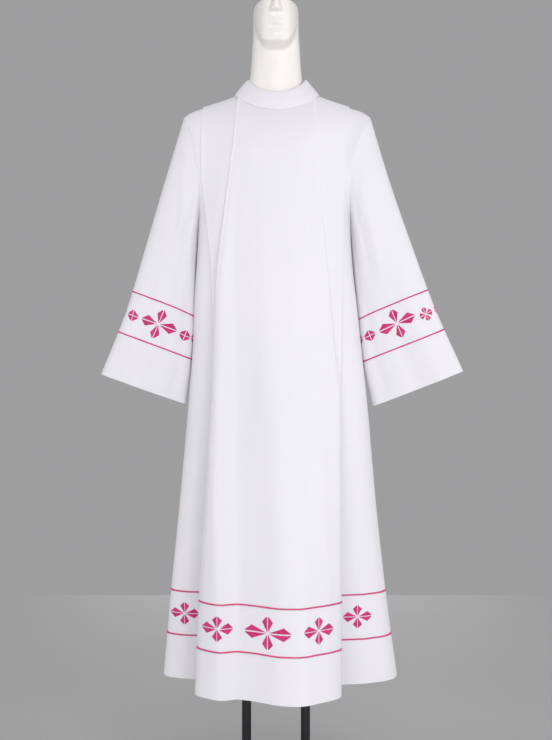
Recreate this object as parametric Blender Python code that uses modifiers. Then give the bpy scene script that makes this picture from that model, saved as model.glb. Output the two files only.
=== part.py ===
"""Alb robe on a limbless dress form, which stands on two rods and a base plate.

Metres, +Z up, the robe's front towards -Y. The origin lies on the floor, under the
middle of the base plate. "Left" is the left as seen from the front, towards -X.
A panel's depth is its distance in front of (or, on the back, behind) the shoulder line.
"""
from collections import namedtuple
from math import acos, asin, cos, pi, radians, sin

import bpy

# ---------------------------------------------------------------- driving sizes
WALL = 0.0012            # cloth wall
SEAM = 0.0003            # gap between pieces
HEM_Z = 0.2375           # height of the hem above the floor
SHOULDER_TIP = 0.2195    # half the shoulder width, at the armhole's top
UNDERARM_Z = 1.285       # bottom of the armhole
NECK_HALF = 0.078        # half-width of the neckline
NECK_FRONT = 0.068       # how far the neckline reaches forward
NECK_BACK = 0.066        # and backward
NECK_FRONT_Z = 1.5485    # its lowest point, in front
NECK_BACK_Z = 1.597      # its lowest point, behind
PLY = 0.0024             # from one layer of a pressed pleat to the next
TOP_LEVEL = 4            # layers that lie under the front panel: two to each pleat
SHOULDER_ROUND = 0.17    # drop over which a panel rounds over the shoulder
SHOULDER_SQUARE = 1.7    # how squarely it does so: 2 is a quarter of an ellipse
ARMHOLE_DEPTH = 0.055    # how far the armhole bows forward and backward
ROBE_X = 0.0028          # the robe hangs this much off the form's axis

ROD_RADIUS = 0.011
ROD_X = 0.0693
BASE_RADIUS = 0.190
BASE_THICK = 0.012
FORM_BOTTOM_Z = 0.800

FRONT, BACK = "front", "back"
LEFT, RIGHT = -1, 1

# ---------------------------------------------------------------- cut of the robe
# The shoulder's ridge: height of the top layer at a distance from the middle.
Ridge = namedtuple("Ridge", "out z")
RIDGE = [Ridge(0.0780, 1.6045), Ridge(0.0965, 1.5985), Ridge(0.1200, 1.5900), Ridge(0.1620, 1.5765),
         Ridge(0.1835, 1.5715), Ridge(0.2000, 1.5660), Ridge(0.2100, 1.5595), Ridge(0.2195, 1.5516)]

# The panels' outer edge, down the armhole and then the side seam.
Edge = namedtuple("Edge", "z left right")
EDGE = [Edge(1.5420, 0.2195, 0.2195), Edge(1.5350, 0.2165, 0.2160), Edge(1.5240, 0.2110, 0.2100),
        Edge(1.5010, 0.2000, 0.1970), Edge(1.4680, 0.1910, 0.1840), Edge(1.4290, 0.1870, 0.1770),
        Edge(1.3840, 0.1850, 0.1740), Edge(1.3340, 0.1842, 0.1722), Edge(1.2850, 0.1842, 0.1715),
        Edge(1.2000, 0.1870, 0.1750), Edge(1.1150, 0.1925, 0.1850), Edge(1.0200, 0.1960, 0.1950),
        Edge(0.8560, 0.2090, 0.2120), Edge(0.6440, 0.2280, 0.2306), Edge(0.4324, 0.2490, 0.2540),
        Edge(0.2375, 0.2660, 0.2800)]

# Pleat lines: distances from the middle of the neck pleats and the shoulder pleats.
# over_*: how far a pleat's fold lies over the cloth beneath; roll: half-width of its turns.
Pleats = namedtuple("Pleats", "z neck_l neck_r shoulder_l shoulder_r over_neck over_shoulder roll")
FRONT_PLEATS = [
    Pleats(1.6000, 0.0912, 0.0912, 0.1720, 0.1720, 0.010, 0.018, 0.0015),
    Pleats(1.5000, 0.0985, 0.0915, 0.1755, 0.1620, 0.020, 0.019, 0.0018),
    Pleats(1.4000, 0.1090, 0.0950, 0.1745, 0.1590, 0.028, 0.020, 0.0020),
    Pleats(1.3000, 0.1220, 0.1030, 0.1630, 0.1560, 0.034, 0.021, 0.0025),
    Pleats(1.1500, 0.1385, 0.1170, 0.1500, 0.1505, 0.040, 0.022, 0.0035),
    Pleats(1.0000, 0.1435, 0.1300, 0.1470, 0.1470, 0.045, 0.023, 0.0050),
    Pleats(0.8800, 0.1490, 0.1420, 0.1470, 0.1440, 0.049, 0.024, 0.0060),
    Pleats(0.8000, 0.1535, 0.1425, 0.1480, 0.1420, 0.052, 0.024, 0.0070),
    Pleats(0.6000, 0.1655, 0.1425, 0.1530, 0.1380, 0.060, 0.026, 0.0090),
    Pleats(0.4375, 0.1743, 0.1420, 0.1580, 0.1340, 0.068, 0.028, 0.0110),
    Pleats(0.2375, 0.1815, 0.1400, 0.1640, 0.1300, 0.075, 0.030, 0.0130)]
BACK_PLEATS = [
    Pleats(1.6000, 0.0912, 0.0912, 0.1720, 0.1720, 0.010, 0.018, 0.0015),
    Pleats(1.4000, 0.1010, 0.1000, 0.1640, 0.1590, 0.024, 0.020, 0.0020),
    Pleats(1.1500, 0.1180, 0.1170, 0.1560, 0.1530, 0.034, 0.022, 0.0035),
    Pleats(0.8000, 0.1420, 0.1400, 0.1640, 0.1620, 0.045, 0.024, 0.0060),
    Pleats(0.2375, 0.1720, 0.1750, 0.1780, 0.1800, 0.062, 0.030, 0.0120)]

# Depths: of the middle of the panel, how far the side panels lie behind it, and how far
# the pressed fold on the left, two long soft ridges and the trough between them stand
# out from it.
Depths = namedtuple("Depths", "z middle side_l side_r fold_l ridge_l trough ridge_r")
FRONT_DEPTHS = [
    Depths(1.6000, 0.100, 0.000, 0.000, 0.000, 0.000, 0.000, 0.000),
    Depths(1.5000, 0.112, 0.000, 0.000, 0.000, 0.000, 0.000, 0.000),
    Depths(1.4000, 0.122, 0.004, 0.005, 0.002, 0.003, 0.000, 0.001),
    Depths(1.3000, 0.127, 0.011, 0.011, 0.006, 0.008, -0.002, 0.005),
    Depths(1.1500, 0.138, 0.030, 0.016, 0.010, 0.013, -0.004, 0.014),
    Depths(1.0000, 0.153, 0.055, 0.030, 0.012, 0.017, -0.003, 0.026),
    Depths(0.8000, 0.175, 0.085, 0.052, 0.012, 0.021, 0.000, 0.041),
    Depths(0.6000, 0.199, 0.115, 0.080, 0.006, 0.026, 0.005, 0.057),
    Depths(0.4375, 0.224, 0.143, 0.100, 0.001, 0.028, 0.009, 0.068),
    Depths(0.2375, 0.262, 0.180, 0.125, 0.000, 0.022, 0.004, 0.063)]
BACK_DEPTHS = [
    Depths(1.6000, 0.085, 0.000, 0.000, 0.000, 0.000, 0.000, 0.000),
    Depths(1.5000, 0.104, 0.000, 0.000, 0.000, 0.000, 0.000, 0.000),
    Depths(1.3000, 0.118, 0.010, 0.008, 0.000, 0.002, 0.000, 0.001),
    Depths(1.1500, 0.128, 0.020, 0.018, 0.000, 0.006, 0.000, 0.005),
    Depths(0.8000, 0.162, 0.040, 0.044, 0.000, 0.020, 0.000, 0.016),
    Depths(0.4375, 0.204, 0.070, 0.076, 0.000, 0.032, 0.002, 0.027),
    Depths(0.2375, 0.232, 0.092, 0.098, 0.000, 0.036, 0.004, 0.032)]

# Where they run: shares of the way across the panel.
Places = namedtuple("Places", "z ridge_l trough ridge_r")
FRONT_PLACES = [Places(1.5000, 0.04, 0.14, 0.40), Places(1.1900, 0.04, 0.16, 0.43), Places(0.9200, 0.05, 0.19, 0.50),
                Places(0.7000, 0.07, 0.22, 0.56), Places(0.4900, 0.13, 0.27, 0.65), Places(0.2375, 0.18, 0.30, 0.69)]
BACK_PLACES = [Places(1.5000, 0.20, 0.36, 0.68), Places(0.2375, 0.20, 0.36, 0.68)]

# Rows down a panel, as shares of its height: the first nine steps cross the armhole.
ARMHOLE_ROWS = [0.0, 0.004, 0.012, 0.030, 0.055, 0.085, 0.118, 0.150, 0.176]
SKIRT_ROWS = [0.25, 0.32, 0.40, 0.48, 0.57, 0.66, 0.77, 0.88, 1.0]
SIDE_STEPS = 6
BETWEEN_STEPS = 2
TURN_STEPS = 3
MIDDLE_STEPS = 12

# ---------------------------------------------------------------- sleeves
# Edges of the hanging sleeve as seen from the front, from the armhole (0) to the cuff (1).
Sleeve = namedtuple("Sleeve", "along in_x in_z out_x out_z depth")
SLEEVE = {
    LEFT: [Sleeve(0.00, 0.1860, 1.2850, 0.2212, 1.5420, 0.055), Sleeve(0.25, 0.1945, 1.1815, 0.2647, 1.3918, 0.057),
           Sleeve(0.50, 0.1965, 1.0780, 0.3078, 1.2415, 0.054), Sleeve(0.75, 0.2015, 0.9745, 0.3530, 1.0910, 0.049),
           Sleeve(1.00, 0.2160, 0.8710, 0.4125, 0.9406, 0.045)],
    RIGHT: [Sleeve(0.00, 0.1733, 1.2850, 0.2212, 1.5420, 0.055), Sleeve(0.25, 0.1815, 1.1800, 0.2656, 1.3905, 0.057),
            Sleeve(0.50, 0.1935, 1.0755, 0.3158, 1.2430, 0.054), Sleeve(0.75, 0.2045, 0.9710, 0.3700, 1.0955, 0.049),
            Sleeve(1.00, 0.2260, 0.8660, 0.4360, 0.9480, 0.045)]}
SLEEVE_ROWS = [0.0, 0.04, 0.10, 0.18, 0.28, 0.40, 0.52, 0.64, 0.76, 0.88, 1.0]
SLEEVE_SEAM = 0.0018     # from the body's edge to the sleeve's, middle of wall to middle of wall

# ---------------------------------------------------------------- collar
# A section through the collar, from the fall's edge over the rolled top down to the stand:
# where it lies between the edge ring (0), the top ring (1) and the stand's foot.
COLLAR_STEPS = 32
FALL_HALF, FALL_FRONT, FALL_BACK = 0.0995, 0.0870, 0.0850
FALL_SIDE_Z, FALL_FRONT_Z, FALL_BACK_Z = 1.5965, 1.5480, 1.5925
FALL_BOW = 1.55          # how quickly the edge rises from its lowest point to the side
TOP_HALF, TOP_FRONT, TOP_BACK = 0.0710, 0.0620, 0.0620
TOP_SIDE_Z, TOP_FRONT_Z, TOP_BACK_Z = 1.6310, 1.5925, 1.6370
ROLL_RADIUS = 0.0022

# ---------------------------------------------------------------- dress form
# Sections of the form: half-width, depths in front and behind, and how square they are.
Section = namedtuple("Section", "z half front back square")
FORM = [
    Section(0.8000, 0.118, 0.084, 0.086, 2.3), Section(0.8060, 0.130, 0.093, 0.096, 2.3),
    Section(0.8300, 0.143, 0.101, 0.106, 2.3), Section(0.9000, 0.152, 0.104, 0.112, 2.3),
    Section(1.0000, 0.143, 0.098, 0.104, 2.2), Section(1.1200, 0.126, 0.092, 0.088, 2.2),
    Section(1.2500, 0.142, 0.102, 0.094, 2.2), Section(1.3600, 0.155, 0.106, 0.098, 2.1),
    Section(1.4400, 0.170, 0.096, 0.086, 1.9), Section(1.4900, 0.188, 0.088, 0.076, 1.6),
    Section(1.5250, 0.200, 0.069, 0.060, 1.4), Section(1.5440, 0.2010, 0.058, 0.050, 1.2),
    Section(1.5535, 0.1940, 0.052, 0.045, 1.15), Section(1.5590, 0.1800, 0.050, 0.044, 1.15),
    Section(1.5672, 0.1510, 0.050, 0.046, 1.2), Section(1.5780, 0.1180, 0.050, 0.047, 1.35),
    Section(1.5900, 0.0780, 0.050, 0.049, 1.8), Section(1.6040, 0.0655, 0.050, 0.050, 2.0),
    Section(1.6320, 0.0610, 0.051, 0.051, 2.0), Section(1.6700, 0.0558, 0.050, 0.053, 2.0),
    Section(1.6860, 0.0541, 0.050, 0.056, 2.0), Section(1.6930, 0.0534, 0.050, 0.058, 2.0),
    Section(1.7000, 0.0530, 0.050, 0.060, 2.0), Section(1.7080, 0.0527, 0.051, 0.062, 2.0),
    Section(1.7180, 0.0524, 0.052, 0.066, 2.1), Section(1.7290, 0.0522, 0.053, 0.069, 2.1),
    Section(1.7440, 0.0520, 0.054, 0.073, 2.2), Section(1.7600, 0.0518, 0.056, 0.076, 2.2),
    Section(1.7690, 0.0517, 0.057, 0.077, 2.2), Section(1.7770, 0.0515, 0.057, 0.078, 2.2),
    Section(1.7880, 0.0512, 0.057, 0.078, 2.2), Section(1.8000, 0.0500, 0.056, 0.077, 2.2),
    Section(1.8050, 0.0465, 0.053, 0.073, 2.2), Section(1.8085, 0.0390, 0.045, 0.063, 2.1),
    Section(1.8100, 0.0200, 0.024, 0.035, 2.0)]
FORM_SIDES = 40
JAW_Z = 1.690            # underside of the chin, where it meets the neck
JAW_RISE = 0.070         # how much higher the jaw's corners are
JAW_OUT = 0.034          # how far the chin stands out from the neck
FACE_HALF = 0.0520
NOSE_Z = 1.7695          # underside of the nose
NOSE_OUT = 0.017
NOSE_HALF, BRIDGE_HALF = 0.017, 0.0105


# ---------------------------------------------------------------- helpers
def smooth_curve(xs, ys, x):
    """Height at x of a smooth curve through the points, with no overshoot between them."""
    if x <= xs[0]:
        return ys[0]
    if x >= xs[-1]:
        return ys[-1]
    i = max(k for k in range(len(xs) - 1) if xs[k] <= x)

    def slope(k):
        return (ys[k + 1] - ys[k]) / (xs[k + 1] - xs[k])

    def tangent(k):
        if k == 0:
            return slope(0)
        if k == len(xs) - 1:
            return slope(k - 1)
        before, after = slope(k - 1), slope(k)
        if before * after <= 0:
            return 0.0
        return 2 * before * after / (before + after)

    span = xs[i + 1] - xs[i]
    t = (x - xs[i]) / span
    return ((2 * t**3 - 3 * t**2 + 1) * ys[i] + (t**3 - 2 * t**2 + t) * span * tangent(i)
            + (3 * t**2 - 2 * t**3) * ys[i + 1] + (t**3 - t**2) * span * tangent(i + 1))


def read_table(rows, key, column, value):
    """A column of a table at a value of its key column, read along a smooth curve."""
    ordered = sorted(rows, key=lambda row: getattr(row, key))
    return smooth_curve([getattr(row, key) for row in ordered],
                        [getattr(row, column) for row in ordered], value)


def ease(t):
    """Smooth step from 0 to 1."""
    t = min(1.0, max(0.0, t))
    return t * t * (3 - 2 * t)


def between(a, b, share):
    return a + (b - a) * share


# ---------------------------------------------------------------- the panels' surfaces
def edge_out(z, side):
    """Distance from the middle of a panel's outer edge."""
    return read_table(EDGE, "z", "left" if side == LEFT else "right", z)


def armhole_depth(drop):
    """How far the armhole's edge lies in front of the shoulder line."""
    share = drop / (ridge_z(SHOULDER_TIP, 0) - UNDERARM_Z)
    if share <= 0 or share >= 1:
        return 0.0
    return ARMHOLE_DEPTH * sin(pi * share) ** (0.65 if share < 0.5 else 0.9)


def pleat(face, column, z):
    return read_table(FRONT_PLEATS if face == FRONT else BACK_PLEATS, "z", column, z)


def depth_of(face, column, z):
    return read_table(FRONT_DEPTHS if face == FRONT else BACK_DEPTHS, "z", column, z)


def side_name(column, side):
    return column + ("_l" if side == LEFT else "_r")


def ridge_and_trough(face, x, z):
    """Extra depth of the soft ridges and the trough at a place across the front panel."""
    left = -pleat(face, "neck_l", z)
    right = pleat(face, "neck_r", z)
    share = (x - left) / (right - left)
    places = [read_table(FRONT_PLACES if face == FRONT else BACK_PLACES, "z", name, z)
              for name in ("ridge_l", "trough", "ridge_r")]
    heights = [depth_of(face, name, z) for name in ("fold_l", "ridge_l", "trough", "ridge_r")]
    return smooth_curve([0.0] + places + [1.0], heights + [0.0], share)


def layer_depth(face, side, level, out, z, drop):
    """Depth of an even layer at a distance from the middle, at a drop below its top edge."""
    outer = edge_out(z, side)
    openness = ease((z - UNDERARM_Z + 0.02) / 0.20)
    squareness = between(0.385, 0.9, openness)
    share = min(1.0, out / outer)
    rounding = (1 - share**2.6) ** squareness
    side_gap = depth_of(face, side_name("side", side), z)
    behind = side_gap * (TOP_LEVEL - level) / TOP_LEVEL
    depth = (depth_of(face, "middle", z) - behind) * rounding
    if level == TOP_LEVEL:
        depth += ridge_and_trough(face, side * out, z)
    first_fold = pleat(face, side_name("shoulder", side), z)
    fade = 1 - ease((out - first_fold) / max(0.01, outer - first_fold))
    depth -= (TOP_LEVEL - level) * PLY * fade
    hole = armhole_depth(ridge_z(out, 0) - z) * share**10
    return hole + depth * rounded(drop)


def mixed_depth(face, side, level, out, z, drop):
    """Depth of any level, from the even layers on both sides of it."""
    lower = 0 if level < 2 else 2
    return between(layer_depth(face, side, lower, out, z, drop),
                   layer_depth(face, side, lower + 2, out, z, drop), (level - lower) / 2)


def ridge_z(out, level):
    return smooth_curve([row.out for row in RIDGE], [row.z for row in RIDGE], out) - (TOP_LEVEL - level) * PLY


def neckline(face, turn):
    """A point of the neckline: turn runs from -90 to 90 degrees, left to right."""
    reach = NECK_FRONT if face == FRONT else NECK_BACK
    low = NECK_FRONT_Z if face == FRONT else NECK_BACK_Z
    high = RIDGE[0].z
    return NECK_HALF * sin(turn), reach * cos(turn), high - (high - low) * cos(turn) ** 1.6


def rounded(drop):
    """Share of the full depth that a panel has reached at a drop below its top edge."""
    left = 1 - min(1.0, max(0.0, drop / SHOULDER_ROUND))
    return (1 - left**SHOULDER_SQUARE) ** (1 / SHOULDER_SQUARE)


# ---------------------------------------------------------------- stations across a panel
# A station is a function of height that gives (distance from the middle, level).
def side_station(face, side, share):
    """Between the outer edge (0) and the valley of the shoulder pleat (1)."""
    def at(z):
        valley = (pleat(face, side_name("shoulder", side), z) - pleat(face, "over_shoulder", z)
                  + pleat(face, "roll", z))
        return between(edge_out(z, side), valley, 1 - cos(share * pi / 2)), 0.0
    return at


def between_station(face, side, share):
    """On the panel between the shoulder pleat's fold (0) and the neck pleat's valley (1)."""
    def at(z):
        start = pleat(face, side_name("shoulder", side), z) - pleat(face, "roll", z)
        end = pleat_station(face, side, "neck", 2, "valley", 0.0)(z)[0]
        return between(start, end, share), 2.0
    return at


def pleat_station(face, side, name, level, part, turn):
    """On a pleat that rises two levels: turn runs from 0 to 180 degrees round a fold."""
    def at(z):
        fold = pleat(face, side_name(name, side), z)
        roll = pleat(face, "roll", z)
        height = (1 - cos(turn)) / 2
        if part == "valley":
            valley = fold - pleat(face, "over_" + name, z)
            return valley + roll * (1 - sin(turn)), level + height
        return fold - roll * (1 - sin(turn)), level + 1 + height
    return at


def middle_station(face, step):
    """On the panel between the two neck pleats; its top lies on the ridge or the neckline."""
    share = step / MIDDLE_STEPS

    def at(z):
        left = -pleat_station(face, LEFT, "neck", 2, "fold", pi)(z)[0]
        right = pleat_station(face, RIGHT, "neck", 2, "fold", pi)(z)[0]
        return between(left, right, share), 4.0
    return at


def point_on_panel(face, side, station, row):
    """The point of a station at a row, as (x, depth, z)."""
    top_z = RIDGE[0].z
    for _ in range(4):
        out, level = station(top_z)
        top_z = ridge_z(abs(out), level)
    z = between(top_z, HEM_Z, row)
    out, level = station(z)
    return side * out, mixed_depth(face, side, level, out, z, top_z - z), z


def point_under_neckline(face, step, row):
    """The same for a column of the middle panel that hangs from the neckline."""
    turn = -pi / 2 + pi * (step - 1) / (MIDDLE_STEPS - 2)
    top_x, top_depth, top_z = neckline(face, turn)
    z = between(top_z, HEM_Z, row)
    x, level = middle_station(face, step)(z)
    x = between(top_x, x, ease((top_z - z) / 0.22))
    side = LEFT if x < 0 else RIGHT
    full = mixed_depth(face, side, level, abs(x), z, SHOULDER_ROUND)
    return x, between(top_depth, full, rounded(top_z - z)), z


def side_columns(face, side):
    """Stations from the outer edge to the front panel, in order."""
    turns = [pi * k / TURN_STEPS for k in range(TURN_STEPS + 1)]
    columns = [side_station(face, side, k / SIDE_STEPS) for k in range(SIDE_STEPS)]
    columns += [pleat_station(face, side, "shoulder", 0, "valley", turn) for turn in turns]
    columns += [pleat_station(face, side, "shoulder", 0, "fold", turn) for turn in turns]
    columns += [between_station(face, side, k / (BETWEEN_STEPS + 1)) for k in range(1, BETWEEN_STEPS + 1)]
    columns += [pleat_station(face, side, "neck", 2, "valley", turn) for turn in turns]
    columns += [pleat_station(face, side, "neck", 2, "fold", turn) for turn in turns]
    return columns


def panel_row(face, row):
    """All points of one row of a panel, from the left edge to the right edge."""
    left = [point_on_panel(face, LEFT, station, row) for station in side_columns(face, LEFT)]
    right = [point_on_panel(face, RIGHT, station, row) for station in side_columns(face, RIGHT)]
    middle = [point_under_neckline(face, step, row) for step in range(1, MIDDLE_STEPS)]
    forward = -1 if face == FRONT else 1
    gap = SEAM / 2 + WALL * 0.3
    return [(ROBE_X + x, forward * (depth + gap), z) for x, depth, z in left + middle + right[::-1]]


# ---------------------------------------------------------------- building
def material(name, colour, roughness, metallic=0.0):
    made = bpy.data.materials.new(name)
    made.use_nodes = True
    shader = made.node_tree.nodes["Principled BSDF"]
    shader.inputs["Base Color"].default_value = (*colour, 1.0)
    shader.inputs["Roughness"].default_value = roughness
    shader.inputs["Metallic"].default_value = metallic
    return made


def loft(name, rings, closed, finish, capped=False, flip=False):
    """A mesh object through rings of points, its faces pointing out."""
    count = len(rings[0])
    last = count if closed else count - 1
    points = [point for ring in rings for point in ring]
    faces = []
    for r in range(len(rings) - 1):
        for k in range(last):
            a, b = r * count + k, r * count + (k + 1) % count
            quad = (a, b, b + count, a + count)
            faces.append(quad[::-1] if flip else quad)
    if capped:
        first = list(range(count))
        final = [(len(rings) - 1) * count + k for k in range(count)]
        faces.append(first if flip else first[::-1])
        faces.append(final[::-1] if flip else final)
    mesh = bpy.data.meshes.new(name)
    mesh.from_pydata(points, [], faces)
    mesh.shade_smooth()
    made = bpy.data.objects.new(name, mesh)
    made.data.materials.append(finish)
    robe.objects.link(made)
    return made


def thicken(piece):
    wall = piece.modifiers.new("wall", "SOLIDIFY")
    wall.thickness = WALL
    wall.offset = 0.0
    return piece


def make_panel(face, finish):
    rows = ARMHOLE_ROWS + [armhole_end()] + SKIRT_ROWS
    return thicken(loft("robe_" + face, [panel_row(face, row) for row in rows], False, finish,
                        flip=face == BACK))


def armhole_end():
    """Share of a panel's height at which the armhole ends."""
    top = ridge_z(SHOULDER_TIP, 0)
    return (top - UNDERARM_Z) / (top - HEM_Z)


def make_sleeve(side, finish):
    """A tube from the armhole's edge to the cuff, one ring for each row."""
    rows = ARMHOLE_ROWS + [armhole_end()]
    edge = side_station(FRONT, side, 0)
    front = [point_on_panel(FRONT, side, edge, row) for row in rows]
    ring = [(x, -depth, z) for x, depth, z in front]
    ring += [(x, depth, z) for x, depth, z in front[-2:0:-1]]
    top_z, low_z = ring[0][2], ring[len(rows) - 1][2]

    def hanging(along, share, turn):
        row = {name: read_table(SLEEVE[side], "along", name, along)
               for name in ("in_x", "in_z", "out_x", "out_z", "depth")}
        return (side * between(row["out_x"], row["in_x"], share), -row["depth"] * sin(turn),
                between(row["out_z"], row["in_z"], share))

    def point(index, along):
        x, y, z = ring[index]
        share = (top_z - z) / (top_z - low_z)
        turn = acos(1 - 2 * share)
        if index >= len(rows):
            turn = -turn
        start = hanging(0.0, share, turn)
        now = hanging(along, share, turn)
        seam_x = x + side * SLEEVE_SEAM
        pull = (1 - along) ** 2.5
        return (ROBE_X + now[0] + (seam_x - start[0]) * pull, now[1] + (y - start[1]) * pull,
                now[2] + (z - start[2]) * pull)

    rings = [[point(index, along) for index in range(len(ring))] for along in SLEEVE_ROWS]
    name = "sleeve_left" if side == LEFT else "sleeve_right"
    return thicken(loft(name, rings, True, finish, flip=side == RIGHT))


def collar_ring(half, front, back, side_z, front_z, back_z, turn, bow=1.0):
    """A point of one of the collar's rings; turn 0 is the front, 90 degrees the right side."""
    ahead = cos(turn)
    reach, low = (front, front_z) if ahead > 0 else (back, back_z)
    return (ROBE_X + half * sin(turn), -reach * ahead, side_z - (side_z - low) * abs(ahead) ** bow)


def collar_section(turn):
    """The collar's section at a turn: up the fall, over the roll and down the stand."""
    edge = collar_ring(FALL_HALF, FALL_FRONT, FALL_BACK, FALL_SIDE_Z, FALL_FRONT_Z, FALL_BACK_Z, turn, FALL_BOW)
    top = collar_ring(TOP_HALF, TOP_FRONT, TOP_BACK, TOP_SIDE_Z, TOP_FRONT_Z, TOP_BACK_Z, turn, 1.3)
    face = FRONT if cos(turn) > 0 else BACK
    foot_x, foot_depth, foot_z = neckline(face, asin(max(-1.0, min(1.0, sin(turn)))))
    foot = (ROBE_X + 0.985 * foot_x, 0.985 * foot_depth * (-1 if face == FRONT else 1), foot_z + WALL + SEAM)
    outward = (sin(turn), -cos(turn))
    points = []
    for share, bulge in ((0.0, 0.0), (0.35, 0.0022), (0.7, 0.0026), (0.9, 0.0018)):
        points.append(tuple(between(edge[k], top[k], share) + (bulge * outward[k] if k < 2 else bulge)
                            for k in range(3)))
    points.append((top[0], top[1], top[2] + ROLL_RADIUS * 0.5))
    inner_top = (top[0] - 2 * ROLL_RADIUS * outward[0], top[1] - 2 * ROLL_RADIUS * outward[1],
                 top[2] - ROLL_RADIUS)
    points.append(inner_top)
    for share in (0.5, 1.0):
        points.append(tuple(between(inner_top[k], foot[k], share) for k in range(3)))
    return points


def make_collar(finish):
    sections = [collar_section(2 * pi * k / COLLAR_STEPS) for k in range(COLLAR_STEPS)]
    rings = [[section[k] for section in sections] for k in range(len(sections[0]))]
    return thicken(loft("collar", rings, True, finish))


def face_out(x, z):
    """How far the jaw and the nose stand out in front of the neck's line."""
    sideways = min(1.0, abs(x) / FACE_HALF)
    jaw = JAW_OUT * ease((z - JAW_Z - JAW_RISE * sideways**4) / 0.018) * (1 - sideways**3)
    half = between(NOSE_HALF, BRIDGE_HALF, ease((z - NOSE_Z) / 0.03))
    nose = NOSE_OUT * ease((z - NOSE_Z) / 0.007) * max(0.0, 1 - (x / half) ** 2) ** 1.5
    return jaw + nose


def form_ring(row):
    """One section of the dress form, with the face standing out in front."""
    ring = []
    for k in range(FORM_SIDES):
        turn = 2 * pi * k / FORM_SIDES
        across, ahead = sin(turn), cos(turn)
        size = (abs(across) ** row.square + abs(ahead) ** row.square) ** (-1 / row.square)
        reach = row.front if ahead > 0 else row.back
        x, y = row.half * size * across, -reach * size * ahead
        if ahead > 0:
            y -= face_out(x, row.z) * min(1.0, row.front / 0.05)
        ring.append((x, y, row.z))
    return ring


def make_form(finish):
    return loft("form_body", [form_ring(row) for row in FORM], True, finish, capped=True)


def make_rod(name, x, finish):
    length = FORM_BOTTOM_Z - BASE_THICK - 2 * SEAM
    bpy.ops.mesh.primitive_cylinder_add(vertices=24, radius=ROD_RADIUS, depth=length,
                                        location=(x, 0, BASE_THICK + SEAM + length / 2))
    return adopt(name, finish)


def make_base(finish):
    bpy.ops.mesh.primitive_cylinder_add(vertices=64, radius=BASE_RADIUS, depth=BASE_THICK,
                                        location=(0, 0, BASE_THICK / 2))
    plate = adopt("base_plate", finish)
    edge = plate.modifiers.new("edge", "BEVEL")
    edge.width = 0.003
    edge.segments = 2
    edge.limit_method = "ANGLE"
    edge.angle_limit = radians(60)
    return plate


def adopt(name, finish):
    """Name the new primitive, shade it and move it to the robe's collection."""
    made = bpy.context.object
    made.name = made.data.name = name
    made.data.materials.append(finish)
    made.data.shade_smooth()
    made.data.set_sharp_from_angle(angle=radians(35))
    for collection in list(made.users_collection):
        collection.objects.unlink(made)
    robe.objects.link(made)
    return made


# ---------------------------------------------------------------- the model
for old in list(bpy.data.objects):
    bpy.data.objects.remove(old, do_unlink=True)
robe = bpy.data.collections.new("alb_robe")
bpy.context.scene.collection.children.link(robe)

white_cloth = material("white_cloth", (0.86, 0.86, 0.90), 0.85)
cream_shell = material("cream_shell", (0.86, 0.82, 0.76), 0.40)
black_rod = material("black_rod", (0.02, 0.02, 0.022), 0.30, 0.6)
black_plate = material("black_plate", (0.03, 0.03, 0.032), 0.45, 0.6)

make_panel(FRONT, white_cloth)
make_panel(BACK, white_cloth)
make_sleeve(LEFT, white_cloth)
make_sleeve(RIGHT, white_cloth)
make_collar(white_cloth)
make_form(cream_shell)
make_rod("rod_left", -ROD_X, black_rod)
make_rod("rod_right", ROD_X, black_rod)
make_base(black_plate)
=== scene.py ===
"""Dressing of an alb robe on a limbless dress form with a two-rod stand.

Metres, +Z up, the robe's front towards -Y. "Left" is the left as seen from the front, -X.
The cloth pieces follow the cut of the solids they stand for, with softer and finer folds.
"""
from bisect import bisect_right
from collections import namedtuple
from math import asin, copysign, cos, exp, pi, radians, sin

import bmesh
import bpy
from mathutils import Matrix, Vector
from mathutils.bvhtree import BVHTree


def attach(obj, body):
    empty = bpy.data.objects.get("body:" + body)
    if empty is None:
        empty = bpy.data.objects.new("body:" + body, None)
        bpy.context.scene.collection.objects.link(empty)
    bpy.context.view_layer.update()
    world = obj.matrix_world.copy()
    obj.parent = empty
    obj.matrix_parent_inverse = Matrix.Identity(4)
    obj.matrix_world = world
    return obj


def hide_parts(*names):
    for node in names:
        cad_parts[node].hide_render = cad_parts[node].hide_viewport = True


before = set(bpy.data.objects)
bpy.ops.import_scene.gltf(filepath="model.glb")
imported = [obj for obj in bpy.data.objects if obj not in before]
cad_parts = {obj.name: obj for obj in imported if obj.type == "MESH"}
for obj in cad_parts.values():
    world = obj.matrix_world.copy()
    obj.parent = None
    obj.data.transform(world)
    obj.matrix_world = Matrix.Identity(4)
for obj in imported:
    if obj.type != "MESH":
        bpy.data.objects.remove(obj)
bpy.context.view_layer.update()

# ---------------------------------------------------------------- camera and light
lens = bpy.data.cameras.new("camera")
lens.sensor_width = 36
lens.lens = 66.16
camera = bpy.data.objects.new("camera", lens)
camera.location = (0, -3.2, 0.95)
camera.rotation_euler = (radians(90), 0, 0)
bpy.context.scene.collection.objects.link(camera)
bpy.context.scene.camera = camera
bpy.context.scene.view_settings.view_transform = "Standard"

sky = bpy.data.worlds.new("studio")
sky.use_nodes = True
sky.node_tree.nodes["Background"].inputs["Color"].default_value = (0.98, 0.98, 1.0, 1)
sky.node_tree.nodes["Background"].inputs["Strength"].default_value = 0.35
bpy.context.scene.world = sky


def soft_light(name, place, aim, watts, size):
    lamp = bpy.data.lights.new(name, "AREA")
    lamp.energy = watts
    lamp.shape = "DISK"
    lamp.size = size
    made = bpy.data.objects.new(name, lamp)
    made.location = place
    made.rotation_euler = (Vector(aim) - Vector(place)).to_track_quat("-Z", "Y").to_euler()
    bpy.context.scene.collection.objects.link(made)


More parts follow.
